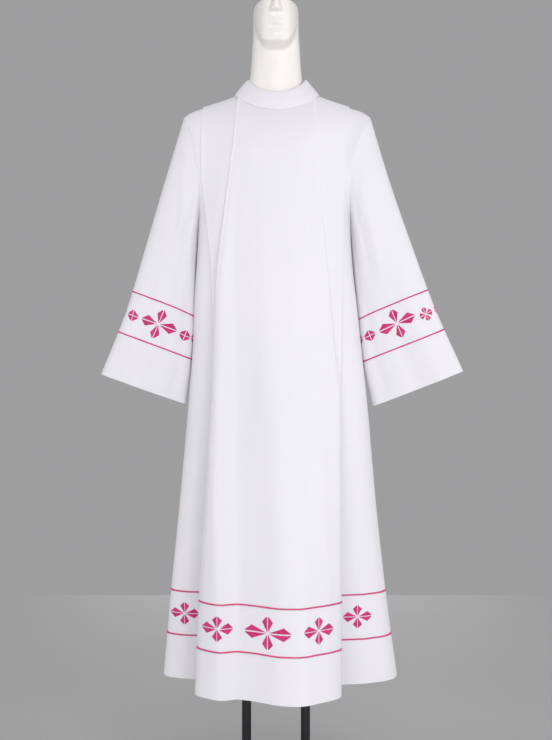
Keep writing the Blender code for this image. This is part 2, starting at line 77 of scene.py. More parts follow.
soft_light("front", (0, -3.8, 0.9), (0, 0, 0.90), 70, 3.0)
soft_light("key", (1.2, -3.0, 2.9), (0, 0, 0.95), 12.5, 1.0)
soft_light("front_right", (2.4, -2.8, 1.8), (0, 0, 0.95), 15, 2.6)
soft_light("front_left", (-2.6, -2.6, 1.4), (0, 0, 0.95), 10, 2.6)
soft_light("top", (0.3, -1.8, 3.6), (0, 0, 0.95), 4, 2.4)
soft_light("right", (3.2, -0.3, 1.3), (0, 0, 0.95), 29, 2.6)
soft_light("left", (-3.2, -0.3, 1.3), (0, 0, 0.95), 22, 2.6)
soft_light("back", (0.0, 3.4, 1.5), (0, 0, 0.95), 24, 2.6)

# ---------------------------------------------------------------- cut of the robe
WALL = 0.0012
SEAM = 0.0003
HEM_Z = 0.2375
SHOULDER_TIP = 0.2195
UNDERARM_Z = 1.285
NECK_HALF, NECK_BACK = 0.078, 0.066
NECK_FRONT_Z, NECK_BACK_Z = 1.5560, 1.597
NECK_BOW = 1.6
PLY = 0.0017
TOP_LEVEL = 4
ROBE_X = 0.0028
CLOTH_OUT = SEAM / 2 + WALL * 0.3       # how far the cloth's middle stands outside the cut

FRONT, BACK = "front", "back"
LEFT, RIGHT = -1, 1

# Across a panel the depth follows (1 - share**ACROSS) to a power, squarer in the skirt than
# at the chest. It rounds over the shoulder within SHOULDER_ROUND of the panel's top edge.
ACROSS, SKIRT_POWER, CHEST_POWER = 2.6, 0.385, 0.9
CHEST_FROM, CHEST_RUN = UNDERARM_Z - 0.02, 0.20
SHOULDER_ROUND, SHOULDER_SQUARE = 0.17, 1.7
LEAST_FADE = 0.01
ARMHOLE_DEPTH, ARMHOLE_REACH = 0.055, 6
ARMHOLE_UPPER, ARMHOLE_LOWER = 0.65, 0.9

# The middle panel is as wide as the neckline at its top, and as the pleats let it below.
NECK_RUN, NECK_CROWDING = 0.10, 0.8

# The left pleats' pressed edges stand up a little, fading out down to PRESSED_FOOT. Along each
# pleat's edge the cloth's colour is painted paler, a painted highlight, by pleat as below, down to a height
# by side.
PRESSED_RISE, PRESSED_HALF, PRESSED_FOOT, PRESSED_RUN = 0.0014, 0.0045, 1.05, 0.25
PAINTED_HIGHLIGHT = {"neck_l": 0.90, "shoulder_l": 0.50, "neck_r": 0.30, "shoulder_r": 0.00}
PAINTED_HIGHLIGHT_END, PAINTED_HIGHLIGHT_FADE, PAINTED_HIGHLIGHT_HALF = {LEFT: 1.05, RIGHT: 1.28}, 0.12, 0.0034

Ridge = namedtuple("Ridge", "out z")
RIDGE = [Ridge(0.0780, 1.6045), Ridge(0.0965, 1.5973), Ridge(0.1200, 1.5884), Ridge(0.1620, 1.5745),
         Ridge(0.1835, 1.5680), Ridge(0.2000, 1.5620), Ridge(0.2100, 1.5562), Ridge(0.2195, 1.5484)]

Edge = namedtuple("Edge", "z left right")
EDGE = [Edge(1.5420, 0.2195, 0.2195), Edge(1.5350, 0.2165, 0.2160), Edge(1.5240, 0.2110, 0.2100),
        Edge(1.5010, 0.2000, 0.1970), Edge(1.4680, 0.1910, 0.1840), Edge(1.4290, 0.1870, 0.1770),
        Edge(1.3840, 0.1850, 0.1740), Edge(1.3340, 0.1842, 0.1722), Edge(1.2850, 0.1842, 0.1715),
        Edge(1.2000, 0.1882, 0.1750), Edge(1.1150, 0.1942, 0.1850), Edge(1.0200, 0.1972, 0.1950),
        Edge(0.8560, 0.2090, 0.2120), Edge(0.6440, 0.2280, 0.2306), Edge(0.4324, 0.2490, 0.2540),
        Edge(0.2375, 0.2660, 0.2800)]

Pleats = namedtuple("Pleats", "z neck_l neck_r shoulder_l shoulder_r over_neck over_shoulder roll")
PLEATS = {
    FRONT: [
        Pleats(1.6000, 0.0912, 0.0912, 0.1720, 0.1720, 0.010, 0.018, 0.0015),
        Pleats(1.5000, 0.0985, 0.0915, 0.1755, 0.1620, 0.020, 0.019, 0.0018),
        Pleats(1.4000, 0.1090, 0.0950, 0.1745, 0.1590, 0.028, 0.020, 0.0020),
        Pleats(1.3000, 0.1220, 0.1030, 0.1630, 0.1560, 0.034, 0.021, 0.0025),
        Pleats(1.1500, 0.1385, 0.1170, 0.1500, 0.1505, 0.040, 0.022, 0.0035),
        Pleats(1.0000, 0.1435, 0.1300, 0.1470, 0.1470, 0.045, 0.023, 0.0050),
        Pleats(0.8800, 0.1490, 0.1420, 0.1470, 0.1440, 0.049, 0.024, 0.0060),
        Pleats(0.8000, 0.1535, 0.1425, 0.1480, 0.1420, 0.052, 0.024, 0.0070),
        Pleats(0.6000, 0.1655, 0.1425, 0.1530, 0.1380, 0.060, 0.026, 0.0090),
        Pleats(0.4375, 0.1743, 0.1420, 0.1580, 0.1340, 0.068, 0.028, 0.0110),
        Pleats(0.2375, 0.1815, 0.1400, 0.1640, 0.1300, 0.075, 0.030, 0.0130)],
    BACK: [
        Pleats(1.6000, 0.0912, 0.0912, 0.1720, 0.1720, 0.010, 0.018, 0.0015),
        Pleats(1.4000, 0.1010, 0.1000, 0.1640, 0.1590, 0.024, 0.020, 0.0020),
        Pleats(1.1500, 0.1180, 0.1170, 0.1560, 0.1530, 0.034, 0.022, 0.0035),
        Pleats(0.8000, 0.1420, 0.1400, 0.1640, 0.1620, 0.045, 0.024, 0.0060),
        Pleats(0.2375, 0.1720, 0.1750, 0.1780, 0.1800, 0.062, 0.030, 0.0120)]}

Depths = namedtuple("Depths", "z middle side_l side_r fold_l ridge_l trough ridge_r")
DEPTHS = {
    FRONT: [
        Depths(1.6000, 0.100, 0.000, 0.000, 0.000, 0.000, 0.000, 0.000),
        Depths(1.5000, 0.112, 0.000, 0.000, 0.000, 0.000, 0.000, 0.000),
        Depths(1.4000, 0.122, 0.004, 0.005, 0.002, 0.003, 0.000, 0.001),
        Depths(1.3000, 0.127, 0.011, 0.011, 0.006, 0.008, -0.002, 0.005),
        Depths(1.1500, 0.138, 0.030, 0.016, 0.010, 0.013, -0.004, 0.014),
        Depths(1.0000, 0.153, 0.055, 0.030, 0.012, 0.017, -0.003, 0.026),
        Depths(0.8000, 0.175, 0.085, 0.052, 0.012, 0.021, 0.000, 0.041),
        Depths(0.6000, 0.199, 0.115, 0.080, 0.006, 0.026, 0.005, 0.057),
        Depths(0.4375, 0.224, 0.143, 0.100, 0.001, 0.028, 0.009, 0.068),
        Depths(0.2375, 0.262, 0.180, 0.125, 0.000, 0.022, 0.004, 0.063)],
    BACK: [
        Depths(1.6000, 0.085, 0.000, 0.000, 0.000, 0.000, 0.000, 0.000),
        Depths(1.5000, 0.104, 0.000, 0.000, 0.000, 0.000, 0.000, 0.000),
        Depths(1.3000, 0.118, 0.010, 0.008, 0.000, 0.002, 0.000, 0.001),
        Depths(1.1500, 0.128, 0.020, 0.018, 0.000, 0.006, 0.000, 0.005),
        Depths(0.8000, 0.162, 0.040, 0.044, 0.000, 0.020, 0.000, 0.016),
        Depths(0.4375, 0.204, 0.070, 0.076, 0.000, 0.032, 0.002, 0.027),
        Depths(0.2375, 0.232, 0.092, 0.098, 0.000, 0.036, 0.004, 0.032)]}

# How much of the two plies under the middle panel has eased out beside each neck pleat.
Eased = namedtuple("Eased", "z left right")
EASED = [Eased(1.6000, 0.50, 0.30), Eased(1.4000, 0.50, 0.45),
         Eased(1.3200, 0.40, 0.80), Eased(1.2600, 0.25, 0.92),
         Eased(1.1600, 0.00, 0.92), Eased(0.9600, 0.00, 0.85),
         Eased(0.8700, 0.00, 0.00), Eased(0.2375, 0.00, 0.00)]

# Where the ridges and the trough run, as shares of the way across the panel.
Places = namedtuple("Places", "z ridge_l trough ridge_r")
PLACES = {
    FRONT: [
        Places(1.5000, 0.04, 0.14, 0.40), Places(1.1900, 0.04, 0.16, 0.43),
        Places(0.9200, 0.05, 0.19, 0.50), Places(0.7000, 0.07, 0.22, 0.56),
        Places(0.4900, 0.13, 0.27, 0.65), Places(0.2375, 0.18, 0.30, 0.69)],
    BACK: [
        Places(1.5000, 0.20, 0.36, 0.68), Places(0.2375, 0.20, 0.36, 0.68)]}

# Soft creases: from (x, z) at the top to (x, z) at the foot, half-width and height; a
# height below 0 is a trough. One whose foot lies under the hem runs out through it.
Crease = namedtuple("Crease", "top_x top_z foot_x foot_z half height")
CREASE_START, CREASE_END, CREASE_EDGE = 0.35, 0.25, 0.12
CREASES = {
    FRONT: [
        Crease(-0.060, 1.500, -0.086, 1.180, 0.016, 0.0018),
        Crease(-0.034, 1.330, -0.062, 0.760, 0.015, -0.0022),
        Crease(-0.100, 1.180, -0.132, 0.100, 0.011, 0.0026),
        Crease(0.022, 1.440, 0.040, 0.900, 0.022, 0.0020),
        Crease(0.070, 1.460, 0.078, 1.130, 0.011, -0.0014),
        Crease(0.058, 1.060, 0.092, 0.080, 0.016, -0.0032),
        Crease(0.004, 0.960, -0.012, 0.060, 0.018, 0.0030),
        Crease(0.104, 0.860, 0.122, 0.120, 0.010, 0.0022),
        Crease(-0.074, 0.720, -0.092, 0.100, 0.012, -0.0022),
        Crease(0.030, 0.640, 0.036, 0.140, 0.011, -0.0018),
        Crease(-0.178, 1.000, -0.226, 0.080, 0.013, 0.0030),
        Crease(0.172, 1.060, 0.208, 0.090, 0.014, 0.0030),
        Crease(0.186, 0.720, 0.240, 0.120, 0.010, -0.0022),
        Crease(-0.124, 1.480, -0.136, 1.240, 0.010, 0.0014)],
    BACK: [
        Crease(-0.040, 1.480, -0.058, 0.900, 0.020, 0.0024),
        Crease(0.046, 1.500, 0.060, 1.020, 0.016, -0.0020),
        Crease(0.004, 1.240, -0.006, 0.080, 0.024, -0.0040),
        Crease(-0.092, 1.020, -0.118, 0.100, 0.013, 0.0032),
        Crease(0.082, 0.960, 0.112, 0.060, 0.016, 0.0036),
        Crease(0.034, 0.800, 0.048, 0.120, 0.011, -0.0022),
        Crease(-0.052, 0.680, -0.062, 0.090, 0.010, -0.0020),
        Crease(-0.196, 0.960, -0.222, 0.080, 0.012, 0.0026),
        Crease(0.198, 1.020, 0.232, 0.090, 0.012, 0.0026),
        Crease(0.130, 1.420, 0.138, 1.140, 0.010, 0.0014)]}

Sleeve = namedtuple("Sleeve", "along in_x in_z out_x out_z depth")
SLEEVE = {
    LEFT: [
        Sleeve(0.00, 0.1860, 1.2850, 0.2212, 1.5420, 0.055),
        Sleeve(0.25, 0.1925, 1.1815, 0.2647, 1.3918, 0.057),
        Sleeve(0.50, 0.1945, 1.0780, 0.3078, 1.2415, 0.054),
        Sleeve(0.75, 0.2015, 0.9745, 0.3530, 1.0910, 0.049),
        Sleeve(1.00, 0.2160, 0.8710, 0.4125, 0.9406, 0.045)],
    RIGHT: [
        Sleeve(0.00, 0.1733, 1.2850, 0.2212, 1.5420, 0.055),
        Sleeve(0.25, 0.1815, 1.1800, 0.2656, 1.3905, 0.057),
        Sleeve(0.50, 0.1905, 1.0755, 0.3158, 1.2430, 0.054),
        Sleeve(0.75, 0.2015, 0.9710, 0.3700, 1.0955, 0.049),
        Sleeve(1.00, 0.2260, 0.8660, 0.4360, 0.9480, 0.045)]}
SLEEVE_LAP = 0.0040                     # how far its start reaches in under the panel
SLEEVE_UNDER = CLOTH_OUT - 1.5 * WALL   # below 0, so its start lies inside the panel
SLEEVE_START = 0.5                      # power of that, from its edges to its front
SLEEVE_FLATNESS = 0.62                  # 1 is round across, less is flatter in front
SLEEVE_RUN = 2.5                        # how fast the armhole's shape is left behind

# Soft folds of a sleeve: where they lie across it (0 outer edge, 1 inner edge), the turn
# of that place down the sleeve, how far along they start and end, half-width and height.
# They fade in below the armhole and towards the sleeve's edges, and are lower at the back.
Fold = namedtuple("Fold", "across drift start end half height")
FOLD_START, FOLD_END, FOLD_TOP, FOLD_EDGE, FOLD_BACK = 0.3, 0.4, 0.12, 0.7, 0.8
SLEEVE_FOLDS = {
    LEFT: [
        Fold(-0.014, 1.82, -0.05, 0.36, 0.080, 0.0026), Fold(0.60, 0.16, -0.02, 0.60, 0.060, -0.0040),
        Fold(0.24, 0.04, 0.40, 1.30, 0.075, -0.0050), Fold(0.48, -0.02, 0.50, 1.40, 0.100, 0.0050),
        Fold(0.82, 0.02, 0.30, 1.25, 0.060, -0.0050), Fold(0.38, 0.24, 0.06, 0.60, 0.070, 0.0040)],
    RIGHT: [
        Fold(-0.337, 5.30, 0.01, 0.28, 0.190, 0.0024), Fold(0.64, 0.14, -0.02, 0.50, 0.055, -0.0040),
        Fold(0.28, 0.00, 0.46, 1.35, 0.085, 0.0048), Fold(0.56, -0.04, 0.55, 1.30, 0.085, -0.0050),
        Fold(0.84, 0.02, 0.34, 1.20, 0.060, -0.0045), Fold(0.42, 0.24, 0.08, 0.60, 0.070, 0.0036)]}

# The collar's rings: the fall's edge and the top of its roll. The fall takes the first
# share of the way over it, then comes the roll, and the stand takes the rest.
Ring = namedtuple("Ring", "half front back side_z front_z back_z bow full")
FALL_EDGE = Ring(0.0990, 0.0721, 0.0735, 1.5945, 1.5495, 1.5900, 1.55, 0.80)
ROLL_TOP = Ring(0.0680, 0.0600, 0.0610, 1.6310, 1.5925, 1.6370, 1.3, 1.0)
ROLL_RADIUS, ROLL_HIGH = 0.0022, 0.9
FALL_END, STAND_START = 0.55, 0.62
STAND_INSIDE = 0.985                    # the stand's foot, as a share of the neckline
SWELL, SWELL_RUN, SWELL_POWER = 0.0012, 0.78, 0.8
RIPPLE, RIPPLES, RIPPLE_START = 0.0007, 3, 0.7

Section = namedtuple("Section", "z half front back square")
FORM = [
    Section(0.8000, 0.118, 0.084, 0.086, 2.3), Section(0.8060, 0.130, 0.093, 0.096, 2.3),
    Section(0.8300, 0.143, 0.101, 0.106, 2.3), Section(0.9000, 0.152, 0.104, 0.112, 2.3),
    Section(1.0000, 0.143, 0.098, 0.104, 2.2), Section(1.1200, 0.126, 0.092, 0.088, 2.2),
    Section(1.2500, 0.142, 0.102, 0.094, 2.2), Section(1.3600, 0.155, 0.106, 0.098, 2.1),
    Section(1.4400, 0.170, 0.096, 0.086, 1.9), Section(1.4900, 0.188, 0.088, 0.076, 1.6),
    Section(1.5250, 0.200, 0.069, 0.060, 1.4), Section(1.5440, 0.2010, 0.058, 0.050, 1.2),
    Section(1.5535, 0.1940, 0.052, 0.045, 1.15), Section(1.5590, 0.1800, 0.050, 0.044, 1.15),
    Section(1.5672, 0.1510, 0.050, 0.046, 1.2), Section(1.5780, 0.1180, 0.050, 0.047, 1.35),
    Section(1.5900, 0.0780, 0.050, 0.049, 1.8), Section(1.6040, 0.0655, 0.050, 0.050, 2.0),
    Section(1.6320, 0.0610, 0.051, 0.051, 2.0), Section(1.6700, 0.0576, 0.050, 0.053, 2.0),
    Section(1.6860, 0.0566, 0.050, 0.056, 2.0), Section(1.7000, 0.0560, 0.050, 0.060, 2.0),
    Section(1.7180, 0.0550, 0.052, 0.066, 2.1), Section(1.7440, 0.0534, 0.054, 0.073, 2.2),
    Section(1.7690, 0.0531, 0.057, 0.077, 2.2), Section(1.7880, 0.0527, 0.057, 0.078, 2.2),
    Section(1.7980, 0.0510, 0.056, 0.077, 2.2), Section(1.8030, 0.0470, 0.051, 0.073, 2.2),
    Section(1.8062, 0.0380, 0.042, 0.062, 2.1), Section(1.8080, 0.0190, 0.022, 0.033, 2.0)]
JAW_Z, JAW_RISE, JAW_EDGE, JAW_OUT, FACE_HALF = 1.690, 0.075, 0.018, 0.034, 0.0532
NOSE_Z, NOSE_EDGE, NOSE_OUT, NOSE_HALF = 1.7695, 0.006, 0.017, 0.017
BRIDGE_HALF, BRIDGE_RUN = 0.0105, 0.03
FULL_FACE = 0.05            # the face stands out in full where the head is this deep

# Small forms of the face: how far they stand out, where across, their half-width and how
# sharply it ends, their height and half-height.
Feature = namedtuple("Feature", "out across half power z tall")
FEATURES = {
    "nose wings": Feature(0.0035, 0.0105, 0.0040, 2, 1.7750, 0.0050),
    "groove": Feature(-0.0018, 0.0000, 0.0032, 2, 1.7640, 0.0042),
    "upper lip": Feature(0.0040, 0.0000, 0.0150, 4, 1.7560, 0.0036),
    "between lips": Feature(-0.0026, 0.0000, 0.0170, 4, 1.7514, 0.0012),
    "lower lip": Feature(0.0046, 0.0000, 0.0125, 4, 1.7462, 0.0040),
    "under lip": Feature(-0.0034, 0.0000, 0.0160, 4, 1.7372, 0.0046),
    "chin": Feature(0.0045, 0.0000, 0.0170, 2, 1.7210, 0.0100)}


# ---------------------------------------------------------------- curves
def smooth_curve(xs, ys, x):
    """Height at x of a smooth curve through the points, with no overshoot between them."""
    if x <= xs[0]:
        return ys[0]
    if x >= xs[-1]:
        return ys[-1]
    i = max(k for k in range(len(xs) - 1) if xs[k] <= x)

    def slope(k):
        return (ys[k + 1] - ys[k]) / (xs[k + 1] - xs[k])

    def tangent(k):
        if k == 0:
            return slope(0)
        if k == len(xs) - 1:
            return slope(k - 1)
        before, after = slope(k - 1), slope(k)
        return 2 * before * after / (before + after) if before * after > 0 else 0.0

    span = xs[i + 1] - xs[i]
    t = (x - xs[i]) / span
    return ((2 * t**3 - 3 * t**2 + 1) * ys[i] + (t**3 - 2 * t**2 + t) * span * tangent(i)
            + (3 * t**2 - 2 * t**3) * ys[i + 1] + (t**3 - t**2) * span * tangent(i + 1))


known = {}


def read_table(rows, key, column, value):
    """A column of a table at a value of its key column, read along a smooth curve."""
    asked = (id(rows), column, round(value, 6))
    if asked not in known:
        ordered = sorted(rows, key=lambda row: getattr(row, key))
        known[asked] = smooth_curve([getattr(row, key) for row in ordered],
                                    [getattr(row, column) for row in ordered], value)
    return known[asked]


def ease(t):
    """Smooth step from 0 to 1."""
    t = min(1.0, max(0.0, t))
    return t * t * (3 - 2 * t)


def between(a, b, share):
    return a + (b - a) * share


# ---------------------------------------------------------------- the panels' surfaces
def edge_out(z, side):
    return read_table(EDGE, "z", "left" if side == LEFT else "right", z)


def pleat(face, column, z):
    return read_table(PLEATS[face], "z", column, z)


def depth_of(face, column, z):
    return read_table(DEPTHS[face], "z", column, z)


def side_name(column, side):
    return column + ("_l" if side == LEFT else "_r")


def ridge_z(out, level):
    """Height of a level's top edge at a distance from the middle."""
    top = smooth_curve([row.out for row in RIDGE], [row.z for row in RIDGE], out)
    return top - (TOP_LEVEL - level) * PLY


def armhole_depth(drop):
    """How far the armhole's edge lies in front of the shoulder line, or behind it."""
    share = drop / (ridge_z(SHOULDER_TIP, 0) - UNDERARM_Z)
    if share <= 0 or share >= 1:
        return 0.0
    return ARMHOLE_DEPTH * sin(pi * share) ** (ARMHOLE_UPPER if share < 0.5 else ARMHOLE_LOWER)


def rounded(drop):
    """Share of the full depth that a panel has reached at a drop below its top edge."""
    left = 1 - min(1.0, max(0.0, drop / SHOULDER_ROUND))
    return (1 - left**SHOULDER_SQUARE) ** (1 / SHOULDER_SQUARE)


def ridge_and_trough(face, x, z):
    """Extra depth of the soft ridges and the trough at a place across the middle panel."""
    left, right = -pleat(face, "neck_l", z), pleat(face, "neck_r", z)
    places = [read_table(PLACES[face], "z", name, z) for name in ("ridge_l", "trough", "ridge_r")]
    heights = [depth_of(face, name, z) for name in ("fold_l", "ridge_l", "trough", "ridge_r")]
    return smooth_curve([0.0] + places + [1.0], heights + [0.0], (x - left) / (right - left))


def creased(face, x, z):
    """Height of the soft creases at a place on a panel."""
    height = 0.0
    for row in CREASES[face]:
        share = (row.top_z - z) / (row.top_z - row.foot_z)
        if 0 < share < 1:
            off = (x - between(row.top_x, row.foot_x, share)) / row.half
            ends = ease(share / CREASE_START) * ease((1 - share) / CREASE_END)
            height += row.height * ends * exp(-off * off)
    return height


def layer_depth(face, side, level, out, z, drop):
    """Depth of an even layer at a distance from the middle, at a drop below its top edge."""
    outer = edge_out(z, side)
    power = between(SKIRT_POWER, CHEST_POWER, ease((z - CHEST_FROM) / CHEST_RUN))
    share = min(1.0, out / outer)
    behind = depth_of(face, side_name("side", side), z) * (TOP_LEVEL - level) / TOP_LEVEL
    depth = (depth_of(face, "middle", z) - behind) * (1 - share**ACROSS) ** power
    if level == TOP_LEVEL:
        depth += ridge_and_trough(face, side * out, z)
    if level and side == LEFT:
        fold = pleat(face, "neck_l" if level == TOP_LEVEL else "shoulder_l", z)
        off = (out - fold) / PRESSED_HALF
        depth += PRESSED_RISE * exp(-off * off) * ease((z - PRESSED_FOOT) / PRESSED_RUN)
    depth += creased(face, side * out, z) * ease((1 - share) / CREASE_EDGE)
    first_fold = pleat(face, side_name("shoulder", side), z)
    fade = 1 - ease((out - first_fold) / max(LEAST_FADE, outer - first_fold))
    plies = TOP_LEVEL - level
    if face == FRONT:
        plies -= min(2.0, plies) * read_table(EASED, "z", "left" if side == LEFT else "right", z)
    depth -= plies * PLY * fade
    hole = armhole_depth(ridge_z(out, 0) - z) * share**ARMHOLE_REACH
    return hole + depth * rounded(drop)


def painted_edge_highlight(face, side, level, out, z):
    """How strongly the painted highlight along the edge of a pleat's top layer shows, fading down the robe.
    """
    name, on_top = ("neck", level > 3) if level > 2 else ("shoulder", level > 1)
    if not on_top:
        return 0.0
    fold = side_name(name, side)
    off = (out - pleat(face, fold, z)) / PAINTED_HIGHLIGHT_HALF
    return PAINTED_HIGHLIGHT[fold] * exp(-off * off) * ease((z - PAINTED_HIGHLIGHT_END[side]) / PAINTED_HIGHLIGHT_FADE)


def mixed_depth(face, side, level, out, z, drop):
    """Depth of any level, from the even layers on both sides of it."""
    lower = 0 if level < 2 else 2
    if level in (0, 2, 4):
        return layer_depth(face, side, level, out, z, drop)
    return between(layer_depth(face, side, lower, out, z, drop),
                   layer_depth(face, side, lower + 2, out, z, drop), (level - lower) / 2)


def neckline(face, turn):
    """A point of the neckline: turn runs from -90 to 90 degrees, left to right."""
    low = NECK_FRONT_Z if face == FRONT else NECK_BACK_Z
    z = RIDGE[0].z - (RIDGE[0].z - low) * max(0.0, cos(turn)) ** NECK_BOW
    if face == FRONT:
        reach = depth_of(face, "middle", z) * rounded(RIDGE[0].z - z)
    else:
        reach = NECK_BACK * cos(turn)
    return NECK_HALF * sin(turn), reach, z


# Stations across a panel: functions of height that give (distance from the middle, level).
SIDE_STEPS, RUN_STEPS, UNDER_STEPS, TURN_STEPS, MIDDLE_STEPS = 14, 14, 3, 5, 64


def side_station(face, side, share):
    """Between the outer edge (0) and the valley of the shoulder pleat (1)."""
    def at(z):
        valley = (pleat(face, side_name("shoulder", side), z) - pleat(face, "over_shoulder", z)
                  + pleat(face, "roll", z))
        return between(edge_out(z, side), valley, 1 - cos(share * pi / 2)), 0.0
    return at


def pleat_station(face, side, name, level, part, turn):
    """On a pleat that rises two levels: turn runs from 0 to 180 degrees round a fold."""
    def at(z):
        fold = pleat(face, side_name(name, side), z)
        roll = pleat(face, "roll", z)
        height = (1 - cos(turn)) / 2
        if part == "valley":
            valley = fold - pleat(face, "over_" + name, z)
            return valley + roll * (1 - sin(turn)), level + height
        return fold - roll * (1 - sin(turn)), level + 1 + height
    return at


def run_station(start, end, level, share):
    """On a flat run between two other stations."""
    def at(z):
        return between(start(z)[0], end(z)[0], share), level
    return at


def side_stations(face, side):
    """Stations from the outer edge to the middle panel, in order."""
    turns = [pi * k / TURN_STEPS for k in range(TURN_STEPS + 1)]
    found = [side_station(face, side, k / SIDE_STEPS) for k in range(SIDE_STEPS)]
    for name, level in (("shoulder", 0), ("neck", 2)):
        valley = [pleat_station(face, side, name, level, "valley", turn) for turn in turns]
        fold = [pleat_station(face, side, name, level, "fold", turn) for turn in turns]
        if name == "neck":
            found += [run_station(found[-1], valley[0], 2.0, (1 - cos(pi * k / RUN_STEPS)) / 2)
                      for k in range(1, RUN_STEPS)]
        found += valley
        found += [run_station(valley[-1], fold[0], level + 1.0, k / UNDER_STEPS)
                  for k in range(1, UNDER_STEPS)]
        found += fold
    return found


class Panel:
    """The front or the back of the robe, as a surface that is read by column and height."""

    def __init__(self, face):
        self.face = face
        self.forward = -1 if face == FRONT else 1
        left = [(LEFT, station) for station in side_stations(face, LEFT)]
        right = [(RIGHT, station) for station in side_stations(face, RIGHT)]
        self.columns = left + [(0, step) for step in range(1, MIDDLE_STEPS)] + right[::-1]
        self.tops = [self.top_of(column) for column in self.columns]

    def top_of(self, column):
        side, station = column
        if side == 0:
            return neckline(self.face, self.turn_of(station))[2]
        top = RIDGE[0].z
        for _ in range(4):
            out, level = station(top)
            top = ridge_z(abs(out), level)
        return top

    def turn_of(self, step):
        return -pi / 2 + pi * (step - 1) / (MIDDLE_STEPS - 2)

    def point(self, index, z):
        """The point of a column at a height."""
        side, station = self.columns[index]
        drop = self.tops[index] - z
        if side:
            out, level = station(z)
            x, depth = side * out, mixed_depth(self.face, side, level, out, z, drop)
        else:
            top_x, top_depth, _ = neckline(self.face, self.turn_of(station))
            left = pleat_station(self.face, LEFT, "neck", 2, "fold", pi)(z)[0]
            right = pleat_station(self.face, RIGHT, "neck", 2, "fold", pi)(z)[0]
            crowded = (1 + sin(self.turn_of(station))) / 2
            share = between(station / MIDDLE_STEPS, crowded, NECK_CROWDING)
            x = between(top_x, between(-left, right, share), ease(drop / NECK_RUN))
            side = LEFT if x < 0 else RIGHT
            full = layer_depth(self.face, side, TOP_LEVEL, abs(x), z, SHOULDER_ROUND)
            if self.face == FRONT:
                depth = full * rounded(RIDGE[0].z - z)
            else:
                depth = between(top_depth, full, rounded(drop))
        return Vector((ROBE_X + x, self.forward * (depth + CLOTH_OUT), z))

    def painted_highlight(self, index, point):
        """How much painted highlight a point of a column takes from a pleat's edge."""
        side, station = self.columns[index]
        level = station(point.z)[1] if side else TOP_LEVEL
        side = side or (LEFT if point.x < ROBE_X else RIGHT)
        return painted_edge_highlight(self.face, side, level, abs(point.x - ROBE_X), point.z)

    def row(self, z):
        """The line round the panel at a height, pleats and all."""
        return [self.point(index, z) for index in range(len(self.columns))]


class SleeveTube:
    """A sleeve, as a surface that is read by its turn round the arm and its distance down."""

    def __init__(self, side):
        self.side = side
        self.top = ridge_z(SHOULDER_TIP, 0)

    def hanging(self, along, share, turn):
        """The sleeve's hanging tube, without its folds."""
        row = {name: read_table(SLEEVE[self.side], "along", name, along)
               for name in ("in_x", "in_z", "out_x", "out_z", "depth")}
        flat = copysign(abs(sin(turn)) ** SLEEVE_FLATNESS, -sin(turn))
        return Vector((self.side * between(row["out_x"], row["in_x"], share), row["depth"] * flat,
                       between(row["out_z"], row["in_z"], share)))

    def folded(self, along, share):
        """Height of the soft folds at a place on the sleeve."""
        height = 0.0
        for row in SLEEVE_FOLDS[self.side]:
            run = (along - row.start) / (row.end - row.start)
            if 0 < run < 1:
                off = (share - row.across - row.drift * along) / row.half
                ends = ease(run / FOLD_START) * ease((1 - run) / FOLD_END)
                height += row.height * ends * exp(-off * off)
        return height

    def point(self, turn, along):
        """turn 0 is the outer edge, 90 degrees the front, 180 the inner edge, 270 the back."""
        turn = turn if turn <= pi else turn - 2 * pi
        share = (1 - cos(turn)) / 2
        z = between(self.top, UNDERARM_Z, share)
        lap = SLEEVE_LAP * sin(turn) ** 2
        out = edge_out(z, self.side)
        rise = ridge_z(out - lap, 0) - ridge_z(out, 0)
        depth = mixed_depth(FRONT, self.side, 0, out - lap, z + rise, self.top - z)
        forward = -1 if turn >= 0 else 1
        ahead = depth + SLEEVE_UNDER * abs(sin(turn)) ** SLEEVE_START
        seam = Vector((self.side * (out - lap), forward * ahead,
                       z + rise + SLEEVE_UNDER * max(0.0, cos(turn))))
        now = self.hanging(along, share, turn)
        now += (seam - self.hanging(0.0, share, turn)) * (1 - along) ** SLEEVE_RUN
        fold = self.folded(along, share) * abs(sin(turn)) ** FOLD_EDGE * ease(along / FOLD_TOP)
        now.y += fold * (-1 if turn >= 0 else FOLD_BACK)
        now.x += ROBE_X
        return now

    def length(self, turn):
        """Length of the sleeve at a turn, from the straight lower half of it."""
        return 2 * (self.point(turn, 1.0) - self.point(turn, 0.5)).length

    def along_at(self, turn, above_cuff):
        """How far down the sleeve a point lies that is a distance above the cuff's edge."""
        return 1 - above_cuff / self.length(turn)


# ---------------------------------------------------------------- making pieces
WELD = 0.00002


def grid_piece(name, across, down, place, finish, closed=False, flip=False, ends=False, painted_highlight=None):
    """A grid laid over a surface: place(i, j) gives each point and its place on the flat cloth."""
    bm = bmesh.new()
    bmesh.ops.create_grid(bm, x_segments=across, y_segments=down, size=1)
    cloth_map = bm.loops.layers.uv.new("cloth")
    # A painted highlight, when given for each point, is stored for the cloth's colour.
    highlight_layer = bm.verts.layers.float.new("painted_highlight") if painted_highlight else None
    flat = {}
    for vert in bm.verts:
        i = round((vert.co.x + 1) / 2 * across)
        j = round((1 - vert.co.y) / 2 * down)
        vert.co, flat[vert] = place(i, j)
        if painted_highlight:
            vert[highlight_layer] = painted_highlight(i, j)
    for made in bm.faces:
        made.smooth = True
        for corner in made.loops:
            corner[cloth_map].uv = flat[corner.vert]
    if closed:
        bmesh.ops.remove_doubles(bm, verts=bm.verts, dist=WELD)
    for edge in bm.edges:
        edge.smooth = len(edge.link_faces) > 1
    if ends:
        bmesh.ops.holes_fill(bm, edges=bm.edges, sides=0)
    if flip:
        bmesh.ops.reverse_faces(bm, faces=bm.faces)
    return as_object(name, bm, finish)


